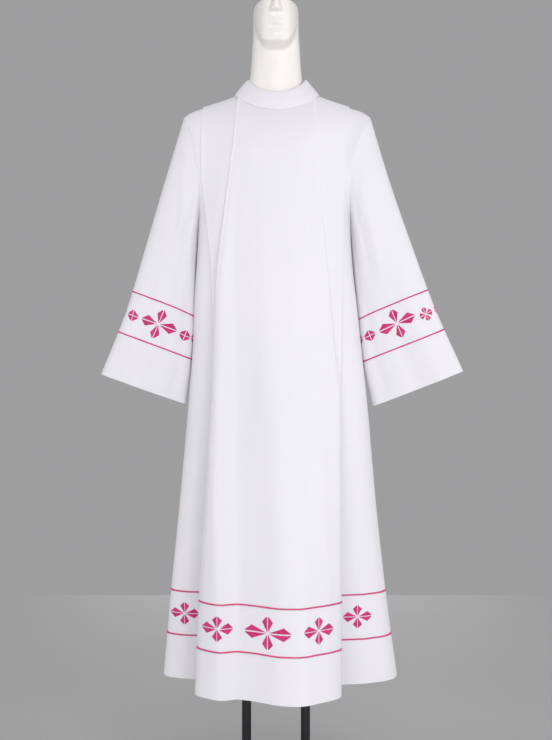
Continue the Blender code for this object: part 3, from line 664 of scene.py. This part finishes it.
def as_object(name, bm, *finishes):
    """An object in the scene made from a bmesh, with its finishes in order."""
    mesh = bpy.data.meshes.new(name)
    bm.to_mesh(mesh)
    bm.free()
    made = bpy.data.objects.new(name, mesh)
    for finish in finishes:
        mesh.materials.append(finish)
    bpy.context.scene.collection.objects.link(made)
    return made


def thicken(piece):
    """The cloth's thickness, half on each side of its surface."""
    wall = piece.modifiers.new("wall", "SOLIDIFY")
    wall.thickness = WALL
    wall.offset = 0.0
    return piece


# ---------------------------------------------------------------- finishes
# Each finish drifts between two colours. The pitches are in metres of cloth.
CLOTH_COLOURS = (0.815, 0.797, 0.85), (0.875, 0.858, 0.895)
# The paler colour of the painted highlight along the pleats' edges.
PAINTED_HIGHLIGHT_COLOUR = (0.985, 0.970, 0.995)
RASPBERRY_COLOURS = (0.55, 0.005, 0.125), (0.66, 0.012, 0.180)
# A paler copy of the thread's colours: painted sheen, for satin halves that catch more light.
RASPBERRY_SHEEN_COLOURS = (0.62, 0.008, 0.165), (0.73, 0.022, 0.230)
SHELL_COLOURS = (0.865, 0.836, 0.800), (0.935, 0.908, 0.872)
LACQUER_COLOURS = (0.012, 0.012, 0.014), (0.030, 0.030, 0.033)
FLOOR_COLOURS = (0.45, 0.45, 0.455), (0.49, 0.49, 0.495)
WEAVE_PITCH, STITCH_PITCH, STITCH_SLANT = 0.0011, 0.00052, 0.45


class Finish:
    """A material whose nodes are added by name and joined to its shader."""

    def __init__(self, name, **sockets):
        self.made = bpy.data.materials.new(name)
        self.made.use_nodes = True
        self.tree = self.made.node_tree
        self.shader = self.tree.nodes["Principled BSDF"]
        for socket, value in sockets.items():
            self.shader.inputs[socket.replace("_", " ")].default_value = value

    def node(self, kind, settings=(), numbered=(), **named):
        """A node whose inputs, by number or by name, are values or other nodes' outputs."""
        made = self.tree.nodes.new("ShaderNode" + kind)
        for setting, value in dict(settings).items():
            setattr(made, setting, value)
        inputs = {**dict(numbered), **{name.replace("_", " "): value for name, value in named.items()}}
        for place, value in inputs.items():
            if isinstance(value, bpy.types.NodeSocket):
                self.tree.links.new(value, made.inputs[place])
            else:
                made.inputs[place].default_value = value
        return made

    def math(self, operation, *values):
        return self.node("Math", {"operation": operation}, enumerate(values)).outputs[0]

    def noise(self, where, scale, detail=2.0):
        return self.node("TexNoise", Vector=where, Scale=scale, Detail=detail).outputs["Fac"]

    def object_place(self):
        return self.node("TexCoord").outputs["Object"]

    def flat_place(self):
        """A place on the flat cloth, in metres."""
        return self.node("UVMap", {"uv_map": "cloth"}).outputs[0]

    def mix(self, share, first, second):
        """A colour between two; the first may be another node's output."""
        if not isinstance(first, bpy.types.NodeSocket):
            first = (*first, 1)
        return self.node("Mix", {"data_type": "RGBA"}, {6: first, 7: (*second, 1)}, Factor=share).outputs[2]

    def bumps(self, *layers):
        """Each layer is (height, strength, distance); they lie one on another."""
        below = None
        for height, strength, distance in layers:
            made = self.node("Bump", Height=height, Strength=strength, Distance=distance)
            if below:
                self.tree.links.new(below, made.inputs["Normal"])
            below = made.outputs["Normal"]
        self.tree.links.new(below, self.shader.inputs["Normal"])

    def join(self, socket, name):
        self.tree.links.new(socket, self.shader.inputs[name])


def alb_cloth():
    """Plain-woven white cloth with faint slubs, and a painted highlight that makes it paler along the
    pleats' edges.
    """
    finish = Finish("alb_cloth", Roughness=0.86, Sheen_Weight=0.45, Sheen_Roughness=0.50,
                    Specular_IOR_Level=0.20)
    place = finish.flat_place()
    parts = finish.node("SeparateXYZ", Vector=place)
    warp, weft = (finish.math("SINE", finish.math("MULTIPLY", parts.outputs[way], 2 * pi / WEAVE_PITCH))
                  for way in (0, 1))
    threads = finish.math("MULTIPLY", finish.math("MULTIPLY", warp, weft), 0.5)
    drift = finish.noise(finish.object_place(), 3.1, 3.0)
    slub = finish.noise(finish.node("Mapping", Vector=place, Scale=(60, 900, 1)).outputs[0], 1.0)
    tone = finish.math("SUBTRACT", finish.math("MULTIPLY_ADD", slub, 0.35, drift), 0.25)
    # The painted highlight along the pleats' edges pales the cloth's colour.
    painted_highlight = finish.node("Attribute", {"attribute_name": "painted_highlight"}).outputs["Fac"]
    finish.join(finish.mix(painted_highlight, finish.mix(tone, *CLOTH_COLOURS), PAINTED_HIGHLIGHT_COLOUR), "Base Color")
    rumple = finish.noise(finish.object_place(), 14.0)
    finish.bumps((threads, 0.35, 0.00016), (slub, 0.20, 0.00012), (rumple, 0.16, 0.0030))
    return finish.made


def embroidery_thread(name, dark, pale):
    """Satin thread: fine parallel stitches that catch the light."""
    finish = Finish(name, Roughness=0.42, Sheen_Weight=0.30, Sheen_Roughness=0.35,
                    Specular_IOR_Level=0.45)
    parts = finish.node("SeparateXYZ", Vector=finish.flat_place())
    slant = finish.math("ADD", parts.outputs[0], finish.math("MULTIPLY", parts.outputs[1], STITCH_SLANT))
    stitch = finish.math("SINE", finish.math("MULTIPLY", slant, 2 * pi / STITCH_PITCH))
    fray = finish.noise(finish.object_place(), 420.0)
    finish.join(finish.mix(fray, dark, pale), "Base Color")
    finish.bumps((stitch, 0.55, 0.00010), (fray, 0.25, 0.00010))
    return finish.made


def moulded_shell():
    """Cream lacquer of the dress form: smooth, with faint cloudiness and orange peel."""
    finish = Finish("moulded_shell", Coat_Weight=0.25, Coat_Roughness=0.18, Specular_IOR_Level=0.45,
                    Subsurface_Weight=0.06, Subsurface_Scale=0.02)
    place = finish.object_place()
    cloud = finish.noise(place, 6.0, 3.0)
    finish.join(finish.mix(cloud, *SHELL_COLOURS), "Base Color")
    finish.join(finish.math("MULTIPLY_ADD", cloud, 0.16, 0.30), "Roughness")
    finish.bumps((finish.noise(place, 260.0, 1.0), 0.12, 0.0002), (finish.noise(place, 22.0), 0.10, 0.0012))
    return finish.made


def black_lacquer(name, grain, rough):
    """Black paint on steel, a little uneven, with fine texture."""
    finish = Finish(name, Metallic=0.25, Specular_IOR_Level=0.5)
    place = finish.object_place()
    cloud = finish.noise(place, 18.0, 4.0)
    finish.join(finish.mix(cloud, *LACQUER_COLOURS), "Base Color")
    finish.join(finish.math("MULTIPLY_ADD", cloud, 0.20, rough), "Roughness")
    finish.bumps((finish.noise(place, grain, 3.0), 0.22, 0.0002))
    return finish.made


cloth = alb_cloth()
raspberry = embroidery_thread("raspberry_thread", *RASPBERRY_COLOURS)
# The paler copy of the thread is painted sheen.
raspberry_sheen = embroidery_thread("raspberry_painted_sheen_thread", *RASPBERRY_SHEEN_COLOURS)
shell = moulded_shell()

# ---------------------------------------------------------------- panels
TOP_ROWS = [0.0, 0.0012, 0.003, 0.0055, 0.009, 0.0135, 0.019, 0.026, 0.034, 0.043, 0.053]
LOWER_ROWS = 112
PANEL_ROWS = TOP_ROWS + [between(TOP_ROWS[-1], 1.0, k / LOWER_ROWS) for k in range(1, LOWER_ROWS + 1)]
SLEEVE_AROUND, SLEEVE_DOWN, SLEEVE_CROWDING = 88, 70, 1.1
SLEEVE_FLAT_STEP = 0.0062


def make_panel(panel):
    """One face of the robe, from the shoulders and neckline to the hem."""
    columns = range(len(panel.columns))
    middle = len(panel.columns) // 2
    points, flat = {}, {}
    for j, row in enumerate(PANEL_ROWS):
        for i in columns:
            points[i, j] = panel.point(i, between(panel.tops[i], HEM_Z, row))
        travelled = [0.0]
        for i in columns[1:]:
            travelled.append(travelled[-1] + (points[i, j] - points[i - 1, j]).length)
        for i in columns:
            flat[i, j] = (travelled[i] - travelled[middle], points[i, j].z - HEM_Z)
    # Each point carries the painted highlight of the pleats' edges.
    return thicken(grid_piece("robe_" + panel.face + "_cloth", len(panel.columns) - 1, len(PANEL_ROWS) - 1,
                              lambda i, j: (points[i, j], flat[i, j]), cloth, flip=panel.face == BACK,
                              painted_highlight=lambda i, j: panel.painted_highlight(i, points[i, j])))


def make_sleeve(tube, name):
    """A sleeve from the armhole to the cuff."""
    turns = [2 * pi * i / SLEEVE_AROUND for i in range(SLEEVE_AROUND + 1)]
    lengths = [tube.length(turn) for turn in turns]

    def place(i, j):
        along = (j / SLEEVE_DOWN) ** SLEEVE_CROWDING
        return (tube.point(turns[i] % (2 * pi), along),
                (i * SLEEVE_FLAT_STEP, (1 - along) * lengths[i]))

    return thicken(grid_piece(name, SLEEVE_AROUND, SLEEVE_DOWN, place, cloth,
                              closed=True, flip=tube.side == RIGHT))


# ---------------------------------------------------------------- collar
def collar_ring(ring, turn):
    """A point of one of the collar's rings; turn 0 is the front, 90 degrees the right side."""
    ahead = cos(turn)
    reach, low = (ring.front, ring.front_z) if ahead > 0 else (ring.back, ring.back_z)
    return Vector((ROBE_X + ring.half * sin(turn), -reach * copysign(abs(ahead) ** ring.full, ahead),
                   ring.side_z - (ring.side_z - low) * abs(ahead) ** ring.bow))


def collar_point(turn, share):
    """Up the fall, over the roll and down the stand."""
    top = collar_ring(ROLL_TOP, turn)
    outward = Vector((sin(turn), -cos(turn), 0))
    up = Vector((0, 0, 1))
    if share < FALL_END:
        t = share / FALL_END
        swell = SWELL * sin(pi * t * SWELL_RUN) ** SWELL_POWER
        ripple = RIPPLE * sin(RIPPLES * turn + RIPPLE_START) * sin(pi * t)
        return collar_ring(FALL_EDGE, turn).lerp(top, t) + (outward + up) * (swell + ripple)
    if share < STAND_START:
        bend = pi * (share - FALL_END) / (STAND_START - FALL_END)
        rise = ROLL_HIGH * sin(bend) - (1 - cos(bend)) / 2
        return top + (outward * (cos(bend) - 1) + up * rise) * ROLL_RADIUS
    inner = top - (outward * 2 + up) * ROLL_RADIUS
    face = FRONT if cos(turn) > 0 else BACK
    x, reach, z = neckline(face, asin(max(-1.0, min(1.0, sin(turn)))))
    foot = Vector((ROBE_X + STAND_INSIDE * x, STAND_INSIDE * reach * (-1 if face == FRONT else 1),
                   z + WALL + SEAM))
    return inner.lerp(foot, (share - STAND_START) / (1 - STAND_START))


COLLAR_AROUND, FALL_STEPS, ROLL_STEPS, STAND_STEPS = 120, 16, 5, 5
COLLAR_FLAT_STEP, COLLAR_FLAT_START, COLLAR_FLAT_HIGH = 0.0046, 0.06, 0.09


def make_collar():
    """The folded collar, from the fall's edge to the neckline."""
    shares = [FALL_END * k / FALL_STEPS for k in range(FALL_STEPS + 1)]
    shares += [between(FALL_END, STAND_START, k / ROLL_STEPS) for k in range(1, ROLL_STEPS + 1)]
    shares += [between(STAND_START, 1.0, k / STAND_STEPS) for k in range(1, STAND_STEPS + 1)]

    def place(i, j):
        turn = 2 * pi * (i % COLLAR_AROUND) / COLLAR_AROUND
        flat = i * COLLAR_FLAT_STEP, COLLAR_FLAT_START + shares[j] * COLLAR_FLAT_HIGH
        return collar_point(turn, shares[j]), flat

    return thicken(grid_piece("collar_cloth", COLLAR_AROUND, len(shares) - 1, place, cloth,
                              closed=True, flip=True))


# ---------------------------------------------------------------- dress form
def face_out(x, z):
    """How far the jaw, lips and nose stand out in front of the neck's line."""
    sideways = min(1.0, abs(x) / FACE_HALF)
    jaw = JAW_OUT * ease((z - JAW_Z - JAW_RISE * sideways**4) / JAW_EDGE) * (1 - sideways**3)
    half = between(NOSE_HALF, BRIDGE_HALF, ease((z - NOSE_Z) / BRIDGE_RUN))
    out = jaw + NOSE_OUT * ease((z - NOSE_Z) / NOSE_EDGE) * max(0.0, 1 - (x / half) ** 2) ** 1.5
    for form in FEATURES.values():
        across = ((abs(x) - form.across) / form.half) ** form.power
        out += form.out * exp(-across - ((z - form.z) / form.tall) ** 2)
    return out


FORM_SIDES = 160
HEAD_FROM, HEAD_STEP, BODY_STEP = 1.66, 0.0018, 0.010


def make_form():
    """The closed shell of the dress form, with finer rows in its head."""
    heights = []
    for low, high in zip(FORM, FORM[1:]):
        step = HEAD_STEP if low.z >= HEAD_FROM else BODY_STEP
        count = max(1, round((high.z - low.z) / step))
        heights += [between(low.z, high.z, k / count) for k in range(count)]
    heights.append(FORM[-1].z)

    def place(i, j):
        z = heights[j]
        row = {name: read_table(FORM, "z", name, z) for name in ("half", "front", "back", "square")}
        turn = 2 * pi * (i % FORM_SIDES) / FORM_SIDES
        across, ahead = sin(turn), cos(turn)
        size = (abs(across) ** row["square"] + abs(ahead) ** row["square"]) ** (-1 / row["square"])
        x = row["half"] * size * across
        y = -row["front" if ahead > 0 else "back"] * size * ahead
        if ahead > 0:
            y -= face_out(x, z) * min(1.0, row["front"] / FULL_FACE)
        return Vector((x, y, z)), (i / FORM_SIDES, z)

    return grid_piece("dress_form", FORM_SIDES, len(heights) - 1, place, shell,
                      closed=True, flip=True, ends=True)


# ---------------------------------------------------------------- embroidery
# A cross has two long arms along the cloth and two short ones up it; each arm is two
# petals with a bare line between them.
Cross = namedtuple("Cross", "long short long_half short_half")
CROSSES = {"large": Cross(0.0503, 0.0340, 0.0143, 0.0118), "small": Cross(0.0326, 0.0280, 0.0126, 0.0092),
           "broad": Cross(0.0338, 0.0262, 0.0122, 0.0110), "side": Cross(0.0332, 0.0252, 0.0113, 0.0106),
           "cuff": Cross(0.0448, 0.0346, 0.0134, 0.0114), "bud": Cross(0.0186, 0.0166, 0.0080, 0.0072)}
PETAL_START, PETAL_WIDEST, START_SPLIT = 0.06, 0.69, 0.8
LONG_SPLIT, SHORT_SPLIT, LEAST_SPLIT = 0.0014, 0.0011, 0.6
LONG_TIP, SHORT_TIP = 0.0010, 0.0020
DIAMOND_HALF, DIAMOND_BLUNT, DIAMOND_SPLIT = 0.0136, 0.0038, 0.0009

# The stitching stands proud of the cloth by BED at its rim and CREST in its middle.
BED, CREST = 0.0003, 0.0009
PETAL_ALONG, PETAL_UP = 5, 4
STITCH_HIGH, STITCH_MIDDLE, STITCH_TOP = 0.0009, 0.0006, 0.72
CORD_STEP = 0.003


def arm_petals(length, half, split, tip):
    """The two petals of an arm that lies along +X, each with four corners."""
    upper = [(length * PETAL_START, split * START_SPLIT), (length, split), (length, split + tip),
             (length * PETAL_WIDEST, half)]
    return [upper, [(x, -y) for x, y in upper[::-1]]]


def cross_petals(kind):
    """The eight petals of a cross."""
    size = CROSSES[kind]
    scale = size.long / CROSSES["large"].long
    apart = max(LEAST_SPLIT, scale)
    long_arm = arm_petals(size.long, size.long_half, LONG_SPLIT * apart, LONG_TIP * scale)
    short_arm = arm_petals(size.short, size.short_half, SHORT_SPLIT * apart, SHORT_TIP * scale)
    petals = []
    for quarter, arm in enumerate((long_arm, short_arm, long_arm, short_arm)):
        spin = Matrix.Rotation(radians(90 * quarter), 2)
        petals += [[tuple(spin @ Vector(corner)) for corner in petal] for petal in arm]
    return petals


def diamond_petals():
    """A small lozenge in four parts, one in each quarter."""
    part = [(DIAMOND_SPLIT, DIAMOND_SPLIT), (DIAMOND_HALF, DIAMOND_SPLIT),
            (DIAMOND_HALF, DIAMOND_BLUNT), (DIAMOND_SPLIT, DIAMOND_HALF)]
    petals = []
    for x_way, y_way in ((1, 1), (-1, 1), (-1, -1), (1, -1)):
        corners = part if x_way == y_way else part[::-1]
        petals.append([(x_way * x, y_way * y) for x, y in corners])
    return petals


class Chart:
    """A band of cloth, read by metres along it from its start and metres up from its edge."""

    def __init__(self, rows, low, step, start):
        self.rows, self.low, self.step = rows, low, step
        self.runs = []
        for row in rows:
            run = [0.0]
            for a, b in zip(row, row[1:]):
                run.append(run[-1] + (b - a).length)
            self.runs.append([far - run[start] for far in run])

    def nearest_row(self, up):
        return min(max(round((up - self.low) / self.step), 0), len(self.rows) - 1)

    def on_row(self, j, along):
        run, row = self.runs[j], self.rows[j]
        i = min(max(bisect_right(run, along), 1), len(run) - 1)
        return row[i - 1].lerp(row[i], (along - run[i - 1]) / max(1e-9, run[i] - run[i - 1]))

    def at(self, along, up):
        place = (up - self.low) / self.step
        j = min(max(int(place), 0), len(self.rows) - 2)
        return self.on_row(j, along).lerp(self.on_row(j + 1, along), place - j)

    def ends(self, up):
        run = self.runs[self.nearest_row(up)]
        return run[0], run[-1]

    def along_at(self, x, up, forward):
        """Where the cloth's outermost layer stands at x, as metres along the band."""
        j = self.nearest_row(up)
        run, row = self.runs[j], self.rows[j]
        found = []
        for i in range(1, len(row)):
            a, b = row[i - 1], row[i]
            if (a.x - x) * (b.x - x) <= 0 and a.x != b.x:
                share = (x - a.x) / (b.x - a.x)
                found.append((forward * between(a.y, b.y, share), between(run[i - 1], run[i], share)))
        return max(found)[1]


class Needlework:
    """Raised stitching on one piece of cloth."""

    def __init__(self, name, piece, chart, forward=0):
        self.name, self.chart, self.forward = name, chart, forward
        self.tree = cloth_tree(piece)
        self.bm = bmesh.new()
        self.place = self.bm.loops.layers.uv.new("cloth")

    def lay(self, along, up, raised):
        """The point that stands proud of the cloth's outer face at a place of the band."""
        hit, normal, _, _ = self.tree.find_nearest(self.chart.at(along, up))
        return hit + normal * (WALL / 2 + raised)

    def petal(self, corners, along, up, slot):
        """A satin-stitched petal, highest in the middle, whose rim is sewn into the cloth."""
        a, b, c, d = (Vector(corner) for corner in corners)
        flat = {}
        laid = bmesh.ops.create_grid(self.bm, x_segments=PETAL_ALONG, y_segments=PETAL_UP, size=1)["verts"]
        for v in laid:
            share, height = (v.co.x + 1) / 2, (v.co.y + 1) / 2
            flat[v] = a.lerp(b, share).lerp(d.lerp(c, share), height)
            rim = max(abs(v.co.x), abs(v.co.y)) > 0.99
            place = along + flat[v].x
            if self.forward:
                place = self.chart.along_at(place, up + flat[v].y, self.forward)
            v.co = self.lay(place, up + flat[v].y, BED if rim else CREST)
        for part in {f for v in flat for f in v.link_faces}:
            part.smooth = True
            part.material_index = slot
            for corner in part.loops:
                corner[self.place].uv = flat[corner.vert]

    def motif(self, kind, along, up, lean=0.0, rise=0.0):
        """A cross or a diamond round a place of the band, or on a panel round its x."""
        petals = diamond_petals() if kind == "diamond" else cross_petals(kind)
        for number, flat in enumerate(petals):
            petal = [(x + lean * y, y + rise * x) for x, y in flat]
            # Alternate petals take the paler copy of the thread, a painted sheen: satin halves stitched
            # different ways catch the light differently.
            self.petal(petal, along, up, number % 2)

    def stitch(self, along, up, half_along, half_up):
        """One short stitch: a low button with eight sides."""
        middle = self.lay(along, up, 0.0)
        ahead = (self.lay(along + half_along, up, 0.0) - middle).normalized()
        out = ahead.cross(self.lay(along, up + half_up, 0.0) - middle).normalized()
        over = out.cross(ahead)
        if (self.lay(along, up, 1.0) - middle).dot(out) < 0:
            out = -out
        turn = Matrix((ahead * half_along, over * half_up, out * STITCH_HIGH)).transposed().to_4x4()
        bmesh.ops.create_cone(self.bm, cap_ends=True, segments=8, radius1=1.0, radius2=STITCH_TOP, depth=1.0,
                              matrix=Matrix.Translation(middle + out * STITCH_MIDDLE) @ turn)

    def line(self, up, cord):
        """A line of couched cord with short stitches over it, all along the band."""
        start, end = self.chart.ends(up)
        steps = int((end - start) / CORD_STEP)
        laid = bmesh.ops.create_grid(self.bm, x_segments=steps, y_segments=2, size=1)["verts"]
        for v in laid:
            share, edge = round((v.co.x + 1) / 2 * steps) / steps, round(v.co.y)
            v.co = self.lay(between(start, end, share), up + edge * cord.half, BED if edge else CREST)
        for part in {f for v in laid for f in v.link_faces}:
            part.smooth = True
            # The cord takes the paler copy of the thread, with its painted sheen.
            part.material_index = 1
        for i in range(int((end - start) / cord.pitch)):
            self.stitch(start + (i + 0.5) * cord.pitch, up, cord.stitch_long, cord.stitch_half)

    def finish(self):
        bmesh.ops.recalc_face_normals(self.bm, faces=self.bm.faces)
        made = as_object(self.name, self.bm, raspberry, raspberry_sheen)
        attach(made, "root")
        return made


def cloth_tree(piece):
    """For finding the cloth's middle surface, without its wall."""
    bm = bmesh.new()
    bm.from_mesh(piece.data)
    tree = BVHTree.FromBMesh(bm)
    bm.free()
    return tree


# A couched cord: its half-width, the half-sizes of the stitches over it, up it and along
# it, and the distance from one stitch to the next.
Cord = namedtuple("Cord", "half stitch_half stitch_long pitch")
HEM_CORD = Cord(0.0010, 0.0028, 0.0017, 0.0047)
CUFF_CORD = Cord(0.0015, 0.0020, 0.0011, 0.0034)

# Motifs on the panels: across is their x, above their height over the hem.
HemMotif = namedtuple("HemMotif", "kind across above")
HEM_MOTIFS = {
    FRONT: [
        HemMotif("side", -0.2110, 0.1500), HemMotif("broad", -0.1281, 0.1496),
        HemMotif("large", -0.0178, 0.1462), HemMotif("small", 0.0920, 0.1500),
        HemMotif("side", 0.1854, 0.1506)],
    BACK: [
        HemMotif("side", -0.2070, 0.1470), HemMotif("small", -0.1120, 0.1470),
        HemMotif("large", 0.0000, 0.1470), HemMotif("small", 0.1120, 0.1470),
        HemMotif("side", 0.2110, 0.1470)]}
HEM_LINES = (0.100, 0.200)


def embroider_panel(panel, piece):
    """The band of crosses between two lines of stitches above a panel's hem."""
    low, step, count = 0.086, 0.004, 33
    rows = [panel.row(HEM_Z + low + step * j) for j in range(count)]
    chart = Chart(rows, low, step, len(panel.columns) // 2)
    work = Needlework("hem_embroidery_" + panel.face, piece, chart, panel.forward)
    for motif in HEM_MOTIFS[panel.face]:
        work.motif(motif.kind, motif.across, motif.above)
    for height in HEM_LINES:
        work.line(height, HEM_CORD)
    return work.finish()


# Motifs on a sleeve: along is metres round it from the middle of its front, towards the
# inner edge; above is their height over the cuff.
SleeveMotif = namedtuple("SleeveMotif", "kind along above lean rise")
SLEEVE_MOTIFS = {
    LEFT: [
        SleeveMotif("cuff", -0.004, 0.154, 0.15, 0.02), SleeveMotif("diamond", -0.072, 0.152, 0.00, 0.00),
        SleeveMotif("diamond", 0.064, 0.152, 0.15, 0.00), SleeveMotif("cuff", 0.127, 0.154, 0.10, 0.00),
        SleeveMotif("cuff", -0.144, 0.153, 0.00, 0.00), SleeveMotif("diamond", -0.204, 0.153, 0.00, 0.00)],
    RIGHT: [
        SleeveMotif("cuff", 0.000, 0.159, 0.11, -0.056), SleeveMotif("diamond", 0.070, 0.157, 0.09, -0.05),
        SleeveMotif("bud", -0.0745, 0.154, 0.22, -0.10), SleeveMotif("cuff", 0.135, 0.158, 0.10, 0.00),
        SleeveMotif("cuff", -0.148, 0.156, 0.00, 0.00), SleeveMotif("diamond", 0.204, 0.156, 0.00, 0.00),
        SleeveMotif("bud", -0.217, 0.156, 0.00, 0.00)]}
CUFF_LINES = (0.105, 0.205)


def embroider_sleeve(tube, piece, name):
    """The band of crosses and diamonds between two lines of stitches above a cuff."""
    low, step, count, around = 0.096, 0.006, 20, 180
    turns = [2 * pi * i / around - pi / 2 for i in range(around + 1)]
    rows = [[tube.point(turn % (2 * pi), tube.along_at(turn % (2 * pi), low + step * j)) for turn in turns]
            for j in range(count)]
    chart = Chart(rows, low, step, around // 2)
    work = Needlework(name, piece, chart)
    for motif in SLEEVE_MOTIFS[tube.side]:
        work.motif(motif.kind, motif.along, motif.above, motif.lean, motif.rise)
    for above in CUFF_LINES:
        work.line(above, CUFF_CORD)
    return work.finish()


# ---------------------------------------------------------------- the model
FLOOR_HALF, FLOOR_BACK = 7, 2.54
floor_mesh = bmesh.new()
bmesh.ops.create_grid(floor_mesh, x_segments=1, y_segments=1, size=FLOOR_HALF,
                      matrix=Matrix.Translation((0, FLOOR_BACK - FLOOR_HALF, 0)))
floor_paint = Finish("pale_floor", Roughness=0.7)
drift = floor_paint.noise(floor_paint.object_place(), 1.5, 4.0)
floor_paint.join(floor_paint.mix(drift, *FLOOR_COLOURS), "Base Color")
floor = as_object("floor", floor_mesh, floor_paint.made)

front, back = Panel(FRONT), Panel(BACK)
left_tube, right_tube = SleeveTube(LEFT), SleeveTube(RIGHT)
pieces = {
    "robe_front": make_panel(front), "robe_back": make_panel(back),
    "sleeve_left": make_sleeve(left_tube, "sleeve_left_cloth"),
    "sleeve_right": make_sleeve(right_tube, "sleeve_right_cloth"),
    "collar": make_collar(), "form_body": make_form()}
for node, piece in pieces.items():
    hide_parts(node)
    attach(piece, "root")

work = {
    "robe_front": embroider_panel(front, pieces["robe_front"]),
    "robe_back": embroider_panel(back, pieces["robe_back"]),
    "sleeve_left": embroider_sleeve(left_tube, pieces["sleeve_left"], "cuff_embroidery_left"),
    "sleeve_right": embroider_sleeve(right_tube, pieces["sleeve_right"], "cuff_embroidery_right")}

for node, finish in (("rod_left", black_lacquer("rod_lacquer", 500.0, 0.22)),
                     ("rod_right", black_lacquer("rod_lacquer_right", 500.0, 0.22)),
                     ("base_plate", black_lacquer("plate_lacquer", 900.0, 0.38))):
    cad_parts[node].material_slots[0].material = finish
